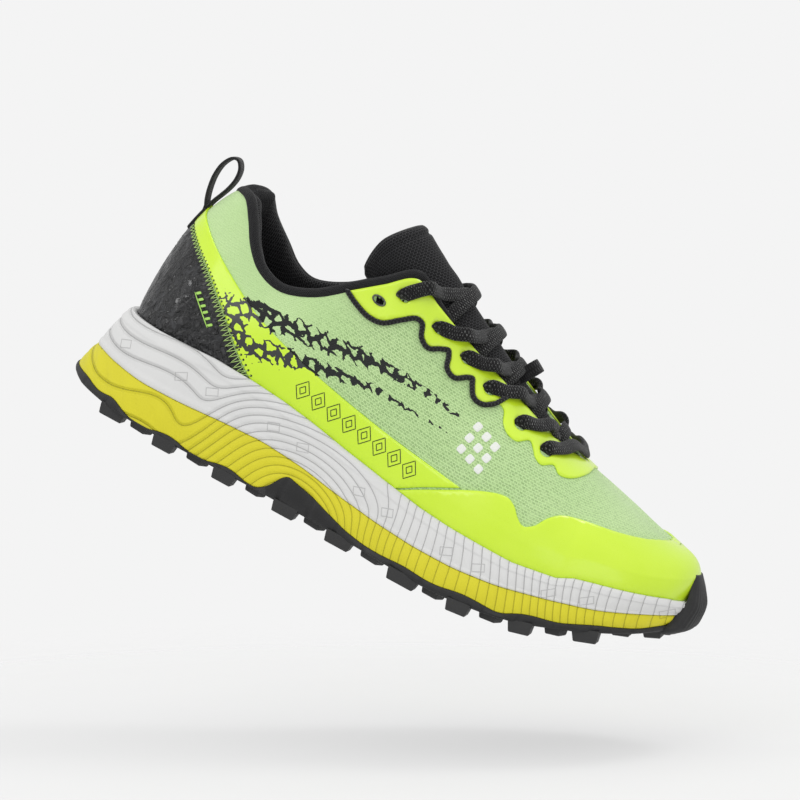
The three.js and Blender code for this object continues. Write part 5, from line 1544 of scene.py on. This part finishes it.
def half_lace(first):
    """Stops of the lace from the middle of its first bar to the end that starts on side first."""
    side, sign = first, 1
    route = [on_tongue(217, 0.5, 4.4, 1)]
    for row in range(len(HOLES) - 1, -1, -1):
        turn = through_hole(side, row, sign)
        sign = -sign
        if row == 0:
            route += turn[:4]
            n = normal(*HOLE_AT[side][0])
            for i, p in enumerate(TAIL[side]):
                flat = np.array([0.0, side, 0]) * (0.7 if i == 0 else 1) + n * (0.3 if i == 0 else 0)
                route.append((np.array(p, float), flat * sign))
            break
        route += turn
        here = abs(HOLE_AT[side][row][0]) - LEAVE
        there = abs(HOLE_AT[-side][row - 1][0]) + ARRIVE
        x0, x1 = skin(side * here, 1.0)[0], skin(-side * there, 1.0)[0]
        over = CROSSING_LIFT if ((row + 1) % 2 == 0) == (first < 0) else 0
        for f, lift in ((0.06, 0), (0.28, over * 0.7), (0.5, over), (0.72, over * 0.7 + 1.3), (0.88, 4.9)):
            u = 0.2 + 0.6 * f
            route.append(on_tongue(x0 + (x1 - x0) * f, u if side < 0 else 1 - u, lift, sign))
        side = -side
    return route


def lace():
    route = half_lace(-1)[1:][::-1] + half_lace(1)
    path = np.array([p for p, _ in route])
    up = unit(np.array([n for _, n in route]))
    at = np.linspace(0, 1, 5 * len(route))
    rings = tube(curve_through(path, at), curve_through(up, at), LACE_WIDE, LACE_THICK, 18, 0.85)
    points, faces = tube_mesh(rings)
    obj = make("lace_braid", points, faces, layers=[tube_layer(rings)])
    return finish_piece(obj, PAINT["lace"], "lace_braid", "shoe_lace")


# ------------------------------------------------------------------ cords, loops and stitching
def piping(side, name):
    """Round cord along the eyestay's rear scallops."""
    edge = EYESTAY_EDGE[:20] + [(182.6, 88.2), (184.6, 91.0)]
    line = resampled(edge, 1.0)
    run = heading(line)
    drop = np.interp(np.arange(len(line)), [len(line) - 9, len(line) - 2], [1.0, 0.0])
    line = line + np.stack([run[:, 1], -run[:, 0]], 1) * drop[:, None]
    places = locate(side, line[:, 0], line[:, 1])
    lift = np.interp(np.arange(len(line)), [len(line) - 10, len(line) - 5], [0.85, 1.9])
    path = off_skin(places[:, 0], places[:, 1], lift)
    up = normal(places[:, 0], places[:, 1])
    at = np.linspace(0, 1, 3 * len(path))
    rings = tube(curve_through(path, at), curve_through(up, at), 1.15, 1.1, 12)
    points, faces = tube_mesh(rings)
    obj = make(name + "_braid", points, faces, layers=[tube_layer(rings)])
    return finish_piece(obj, PAINT["cord"], "webbing", name)


def slot_rim(side, name):
    """Rim of the spare lace slot."""
    loop = oval_hole(side, *SLOT, 3.1, 1.65, -0.17)
    path = off_skin(loop[:, 0], loop[:, 1], np.full(len(loop), FILM_TOP + 0.15))
    up = normal(loop[:, 0], loop[:, 1])
    at = np.linspace(0, 1, 61)[:-1]
    fine, ups = curve_through(path, at, closed=True), curve_through(up, at, closed=True)
    across = np.cross(loop_heading(fine), ups)
    a = (2 * np.pi * np.arange(10) / 10)[:, None]
    rings = fine[:, None] + across[:, None] * 0.38 * np.cos(a) + ups[:, None] * 0.34 * np.sin(a)
    points, faces = tube_mesh(rings, closed=True)
    obj = make(name + "_ring", points, faces)
    return finish_piece(obj, PAINT["rim"], "rim_plastic", name)


# The pull loop from the side.
LOOP_PATH = [
    (22.4, 98.2), (21.3, 101), (20.2, 106), (19.8, 112), (20.9, 118), (23.8, 122.2), (26.6, 122.6),
    (28.9, 119.6), (29.4, 115), (28.3, 110), (26.4, 105.5), (24.5, 101.5), (23.4, 98.4),
]


def strap(path, up, half_wide, half_thick, sides=28):
    """A flat woven tape along a path, with rounded edges."""
    rings = tube(path, up, half_wide, half_thick, sides, 0.35)
    points, faces = tube_mesh(rings)
    return points, faces, tube_layer(rings)


def pull_loop():
    line = resampled(LOOP_PATH, 0.8)
    line = np.vstack([[(22.6, 95.5)], [(22.55, 96.8)], line, [(23.3, 96.8)], [(23.35, 95.5)]])
    path = np.stack([line[:, 0], np.zeros(len(line)), line[:, 1]], 1)
    up = unit(np.cross(np.gradient(path, axis=0), [0, 1, 0]))
    points, faces, layer = strap(path, up, 3.7, 0.68)
    obj = make("pull_loop_tape_woven", points, faces, layers=[layer])
    return finish_piece(obj, PAINT["tape"], "webbing", "pull_loop")


# The loop's tape on the heel: the heights (t) of its ends, and half its width (sigma).
ANCHOR_LOW, ANCHOR_HIGH, ANCHOR_HALF = 0.555, 0.735, 0.4


def loop_anchor():
    """The loop's sewn-down tape on the heel."""
    t = np.linspace(ANCHOR_LOW, ANCHOR_HIGH, 26)
    sigma = np.linspace(-ANCHOR_HALF, ANCHOR_HALF, 21)
    ss, tt = np.meshgrid(sigma, t, indexing="ij")
    from_side = np.minimum(ss + ANCHOR_HALF, ANCHOR_HALF - ss) / 0.06
    from_end = np.minimum(tt - ANCHOR_LOW, ANCHOR_HIGH - tt) / 0.012
    edge = np.clip(np.minimum(from_side, from_end), 0, 1)
    height = FILM_TOP + 0.15 + 1.05 * np.sqrt(np.clip(1 - (1 - edge) ** 2, 0, 1))
    points, faces = closed_shell(off_skin(ss, tt, height), off_skin(ss, tt, np.full_like(height, 0.9)))
    u, v = surface_mm(ss, tt)
    weave = np.stack([v, u / 9, 0 * u], -1).reshape(-1, 3)
    obj = make("loop_anchor_tape", points, faces, layers=[("weave", np.vstack([weave, weave]))])
    return finish_piece(obj, PAINT["tape"], "webbing", "pull_loop_tape")


KEEPER = {"foot": (181.4, 3, 96.4), "across": 4.2, "height": 9.6, "wide": 6.2, "tilt": 0.55}


def keeper():
    """Webbing arch on the tongue."""
    half, tall = KEEPER["across"] - 0.6, KEEPER["height"] - 0.6
    line = resampled([
        (-half, -1.5), (-half, tall * 0.4), (-half, tall * 0.8), (-half * 0.55, tall), (0, tall + 0.2),
        (half * 0.55, tall), (half, tall * 0.8), (half, tall * 0.4), (half, -1.5),
    ], 0.5)
    path = np.stack([np.zeros(len(line)), line[:, 0], line[:, 1]], 1)
    c, s = math.cos(KEEPER["tilt"]), math.sin(KEEPER["tilt"])
    path = np.stack([path[:, 0] * c + path[:, 2] * s, path[:, 1], -path[:, 0] * s + path[:, 2] * c], 1)
    path += np.array(KEEPER["foot"])
    up = unit(np.cross(np.gradient(path, axis=0), [c, 0, -s]))
    points, faces, layer = strap(path, up, KEEPER["wide"] / 2, 0.75)
    obj = make("keeper_tape", points, faces, layers=[layer])
    return finish_piece(obj, PAINT["tape"], "webbing", "lace_keeper")


def thread(path, radius, sides=6):
    up = unit(np.cross(np.gradient(path, axis=0), [0.3, 0.9, 0.1]))
    return tube_mesh(tube(path, up, radius, radius, sides))


def zigzag():
    """Stitches over the heel film's front edge: threads on the film, needle holes on the neon strip."""
    threads, holes = [], []
    for side in (-1, 1):
        line = resampled([(23.5, 88.2), *PANEL_EDGE[1:]], 0.4)
        run = heading(line)
        out = np.stack([-run[:, 1], run[:, 0]], 1)
        length = run_along(line)
        at, corners, k = 0.0, [], 0
        while at < length[-1]:
            share = at / length[-1]
            p = np.array([np.interp(at, length, line[:, 0]), np.interp(at, length, line[:, 1])])
            o = np.array([np.interp(at, length, out[:, 0]), np.interp(at, length, out[:, 1])])
            reach = (1.0 + 1.2 * share) if k % 2 == 0 else -(0.8 + 3.2 * share)
            corners.append(p + o * reach)
            at += 0.75 + 0.55 * share
            k += 1
        corners = np.array(corners)
        places = locate(side, corners[:, 0], corners[:, 1])
        depth = np.where(np.arange(len(corners)) % 2 == 0, 1.0, 1.35)
        points = off_skin(places[:, 0], places[:, 1], depth)
        stitches = [np.linspace(a, b, 5)[:-1] for a, b in zip(points[:-1], points[1:])]
        fine = np.vstack([*stitches, points[-1:]])
        threads.append(thread(fine, 0.17))
        for i in range(0, len(corners), 2):
            centre, n = off_skin(*places[i], FILM_TOP + 0.02), normal(*places[i])
            sideways = unit(np.cross(n, [0.2, 0.1, 1.0]))
            other = np.cross(n, sideways)
            r = 0.42 + 0.1 * i / len(corners)
            disc = np.array([centre + (sideways * np.cos(q) * r + other * np.sin(q) * r)
                             for q in 2 * np.pi * np.arange(8) / 8])
            holes.append(tube_mesh(np.array([disc - n * 0.1, disc + n * 0.05])))
    obj = make("heel_zigzag_thread", *joined(threads))
    finish_piece(obj, PAINT["thread"], "neon_film")
    obj = make("heel_needle_holes", *joined(holes))
    finish_piece(obj, PAINT["hole"], "heel_film")


def outline_ribbon(side, loop_xz, distance, half_wide, thick=0.12):
    """A closed loop of side-view points laid on the shoe as a thin raised ribbon."""
    places = locate(side, loop_xz[:, 0], loop_xz[:, 1])
    path = off_skin(places[:, 0], places[:, 1], np.full(len(places), distance))
    up = normal(places[:, 0], places[:, 1])
    across = unit(np.cross(loop_heading(path), up))
    corners = [(-1, 0), (-0.7, 1), (0.7, 1), (1, 0)]
    rings = np.stack([path + across * half_wide * a + up * thick * b for a, b in corners], 1)
    return tube_mesh(rings, closed=True)


def capsule(x, z, half_long, half_high, tilt, skew, count):
    """An outline between an ellipse and a box."""
    a = np.linspace(0, 2 * np.pi, count + 1)[:-1]
    c, s = np.cos(a), np.sin(a)
    px, pz = np.sign(c) * np.abs(c) ** 0.5 * half_long, np.sign(s) * np.abs(s) ** 0.5 * half_high
    return np.stack(turned(x, z, px + skew * pz, pz, tilt), 1)


def diamond(x, z, half_long, half_high, tilt):
    """A four-pointed outline."""
    corners = np.array([(half_long, 0), (0, half_high), (-half_long, 0), (0, -half_high)])
    ring = np.vstack([corners[k] + (corners[(k + 1) % 4] - corners[k]) * f for k in range(4)
                      for f in np.linspace(0, 1, 8)[:-1][:, None]])
    return np.stack(turned(x, z, ring[:, 0], ring[:, 1], tilt), 1)


def marks():
    """Plain shapes in three places: diamonds on the strip, ticks at the heel, dots on the knit."""
    dark, pale, lime = [], [], []
    for side in (-1, 1):
        for k in range(8):
            x = 105.0 + 8.3 * k
            z = np.interp(x, [104, 165], [52.0, 44.3])
            for size in (1.0, 0.45):
                shape = diamond(x, z, 3.6 * size, 4.6 * size, -0.13)
                dark.append(outline_ribbon(side, shape, FILM_TOP, 0.2))
        for row in range(3):
            for k in range(3):
                x, z = 184.5 + 5.4 * (k - 1) + 0.6 * (row - 1), 66.3 + 5.4 * (row - 1) - 1.9 * (k - 1)
                pale.append((side, capsule(x, z, 1.75, 1.75, -0.3, 0.0, 28)))
        for k in range(6):
            f = k / 5
            x, z = 44.0 + 11.4 * f, 66.6 - 9.4 * f
            lime.append((side, capsule(x, z, 0.6, 1.15, -0.69, 0.2, 20)))
        lime.append((side, capsule(48.6, 60.9, 8.2, 0.22, -0.69, 0.0, 60)))
    obj = make("strip_diamonds", *joined(dark))
    finish_piece(obj, PAINT["ink"], "neon_film")
    for name, shapes, paint, distance, slot in (("side_dots", pale, "mark", 0.08, "upper_knit"),
                                                ("heel_ticks", lime, "lime", 1.32, "heel_film")):
        obj = make(name, *joined([solid_mark(side, loop, distance) for side, loop in shapes]))
        finish_piece(obj, PAINT[paint], slot)


def solid_mark(side, loop_xz, distance, thick=0.16):
    """A thin filled shape on the shoe, crowned a little inside its edge."""
    centre = loop_xz.mean(0)
    rings = []
    for shrink, lift in ((1.0, -0.25), (1.0, 0.0), (0.88, thick), (0.5, thick), (0.04, thick)):
        pts = centre + (loop_xz - centre) * shrink
        places = locate(side, pts[:, 0], pts[:, 1])
        rings.append(off_skin(places[:, 0], places[:, 1], np.full(len(pts), distance + lift)))
    return tube_mesh(np.array(rings))


# ------------------------------------------------------------------ studio
TILT = math.radians(27.2)            # how far the shoe leans, toe down, in the picture
AZIMUTH, ELEVATION = math.radians(12.0), math.radians(4.0)
DISTANCE = 1700.0
LENS, SHIFT_X, SHIFT_Y = 174.3, 0.0025, 0.015
CENTRE = np.array([140.4, 0.0, 57.2])
PICTURE = np.array([                 # columns: the shoe's axes in the picture's upright frame
    [math.cos(TILT), 0, math.sin(TILT)],
    [0, 1, 0],
    [-math.sin(TILT), 0, math.cos(TILT)],
])


def from_picture(v):
    return PICTURE.T @ np.asarray(v, float)


def camera():
    back = np.array([math.sin(AZIMUTH) * math.cos(ELEVATION), -math.cos(AZIMUTH) * math.cos(ELEVATION),
                     math.sin(ELEVATION)])
    right = unit(np.cross(-back, [0, 0, 1]))
    up = np.cross(right, -back)
    data = bpy.data.cameras.new("camera")
    data.lens = LENS
    data.sensor_width = 36
    data.shift_x, data.shift_y = SHIFT_X, SHIFT_Y
    data.clip_start, data.clip_end = 0.1, 20
    obj = bpy.data.objects.new("camera", data)
    scene.collection.objects.link(obj)
    turn = np.stack([from_picture(right), from_picture(up), from_picture(back)], 1)
    stand = Matrix.Translation(place(CENTRE + from_picture(back) * DISTANCE))
    obj.matrix_world = stand @ Matrix(turn.tolist()).to_4x4()
    scene.camera = obj


def area_light(name, direction, distance, size, power):
    """A soft light, its direction given in the picture's upright frame."""
    data = bpy.data.lights.new(name, "AREA")
    data.shape = "DISK"
    data.size = size
    data.energy = power
    obj = bpy.data.objects.new(name, data)
    scene.collection.objects.link(obj)
    v = Vector(from_picture(np.array(direction, float) / np.linalg.norm(direction)))
    obj.location = Vector(place(CENTRE)) + v * distance
    obj.rotation_mode = "QUATERNION"
    obj.rotation_quaternion = v.to_track_quat("Z", "Y")


WORLD_BELOW, WORLD_ABOVE = 0.68, 1.0
KEY_POWER, FILL_POWER, TOP_POWER, EDGE_POWER = 2.4, 3.0, 2.6, 1.1
FLOOR_TONE, FLOOR_CLEAR = (236, 236, 236), 0.5
FLOOR_RADIUS, FLOOR_SIDES, FLOOR_DROP = 1200.0, 96, -145.0   # millimetres; the drop is from CENTRE
FLOOR_RINGS = np.array([0.0, 0.25, 0.5, 0.75, 1.0])


def backdrop():
    """Pale world, a little darker below; the camera sees one even tone."""
    world = bpy.data.worlds.new("studio")
    scene.world = world
    world.use_nodes = True
    tree = world.node_tree
    shown, lit = tree.nodes["Background"], tree.nodes.new("ShaderNodeBackground")
    shown.inputs["Color"].default_value = lit.inputs["Color"].default_value = linear((244, 244, 244))
    ray, either = tree.nodes.new("ShaderNodeLightPath"), tree.nodes.new("ShaderNodeMixShader")
    place_at, height = tree.nodes.new("ShaderNodeTexCoord"), tree.nodes.new("ShaderNodeVectorMath")
    height.operation = "DOT_PRODUCT"
    height.inputs[1].default_value = tuple(from_picture((0, 0, 1)))
    shade = tree.nodes.new("ShaderNodeMapRange")
    for key, value in (("From Min", -0.7), ("From Max", 0.8),
                       ("To Min", WORLD_BELOW), ("To Max", WORLD_ABOVE)):
        shade.inputs[key].default_value = value
    tree.links.new(place_at.outputs["Generated"], height.inputs[0])
    tree.links.new(height.outputs["Value"], shade.inputs["Value"])
    tree.links.new(shade.outputs["Result"], lit.inputs["Strength"])
    tree.links.new(ray.outputs["Is Camera Ray"], either.inputs[0])
    tree.links.new(lit.outputs[0], either.inputs[1])
    tree.links.new(shown.outputs[0], either.inputs[2])
    tree.links.new(either.outputs[0], tree.nodes["World Output"].inputs["Surface"])


def lights():
    area_light("key", (-0.3, -1.0, 0.8), 1.5, 0.7, KEY_POWER)
    area_light("fill", (0.8, -1.1, -0.05), 1.7, 1.2, FILL_POWER)
    area_light("edge", (-0.9, -0.45, 0.5), 1.3, 0.22, EDGE_POWER)
    area_light("top", (0.38, 0.25, 0.9), 1.3, 0.42, TOP_POWER)


def floor_disc():
    """Floor square to the picture's upright, fading out round the shoe and clear from behind."""
    a = 2 * np.pi * np.arange(FLOOR_SIDES) / FLOOR_SIDES
    flat = np.stack([np.cos(a), np.sin(a), 0 * a], 1) * FLOOR_RADIUS
    rings = CENTRE + (flat * FLOOR_RINGS[:, None, None] + [0, 0, FLOOR_DROP]) @ PICTURE
    points, faces = ring_faces(rings)
    mesh = bpy.data.meshes.new("floor")
    mesh.from_pydata(place(points).tolist(), [], [f[::-1] for f in faces])
    away = np.repeat(FLOOR_RINGS, FLOOR_SIDES).astype(np.float32)
    mesh.attributes.new("away", "FLOAT", "POINT").data.foreach_set("value", away)
    bm = bmesh.new()
    bm.from_mesh(mesh)
    bmesh.ops.remove_doubles(bm, verts=bm.verts, dist=1e-6)
    bm.to_mesh(mesh)
    bm.free()
    floor = bpy.data.objects.new("floor", mesh)
    scene.collection.objects.link(floor)
    p = Paint("floor")
    dust = p.noise(p.millimetres(), 0.02, 3.0)
    p.done(p.mix(dust, FLOOR_TONE, tuple(v + 2 for v in FLOOR_TONE)), 0.95, Specular_IOR_Level=0.0)
    clear, blend = p.node("BsdfTransparent"), p.node("MixShader")
    fade = p.ramp(p.attribute("away").outputs["Fac"], 0.10, 0.36)
    behind = p.node("NewGeometry").outputs["Backfacing"]
    hide = p.math("MAXIMUM", p.math("MAXIMUM", fade, FLOOR_CLEAR), behind)
    p.tree.links.new(hide, blend.inputs[0])
    p.tree.links.new(p.shader.outputs[0], blend.inputs[1])
    p.tree.links.new(clear.outputs[0], blend.inputs[2])
    p.tree.links.new(blend.outputs[0], p.tree.nodes["Material Output"].inputs["Surface"])
    floor.data.materials.append(p.material)


# ------------------------------------------------------------------ assembly
camera()
backdrop()
lights()
floor_disc()
knit_upper()
heel_panel()
foxing(-1, "foxing_lateral")
foxing(1, "foxing_medial")
toe_overlay()
eyestay()
midsole_white()
midsole_yellow()
outsole()
collar_binding()
collar_lining()
sock_liner()
tongue_piece = tongue()
lace()
piping(-1, "piping_cord_lateral")
piping(1, "piping_cord_medial")
slot_rim(-1, "slot_rim_lateral")
slot_rim(1, "slot_rim_medial")
loop_piece = pull_loop()
loop_anchor()
keeper()
zigzag()
marks()

for node, paint in (("strobel_board", "board"), ("heel_counter", "counter"), ("toe_puff", "counter"),
                    ("aglet_lateral", "aglet"), ("aglet_medial", "aglet")):
    slots = frame["nodes"][node].data.materials
    slots.clear()
    slots.append(PAINT[paint])


def bend(obj):
    obj.parent = None
    del obj["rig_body"]
    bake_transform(obj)


bend(tongue_piece)
bend(loop_piece)
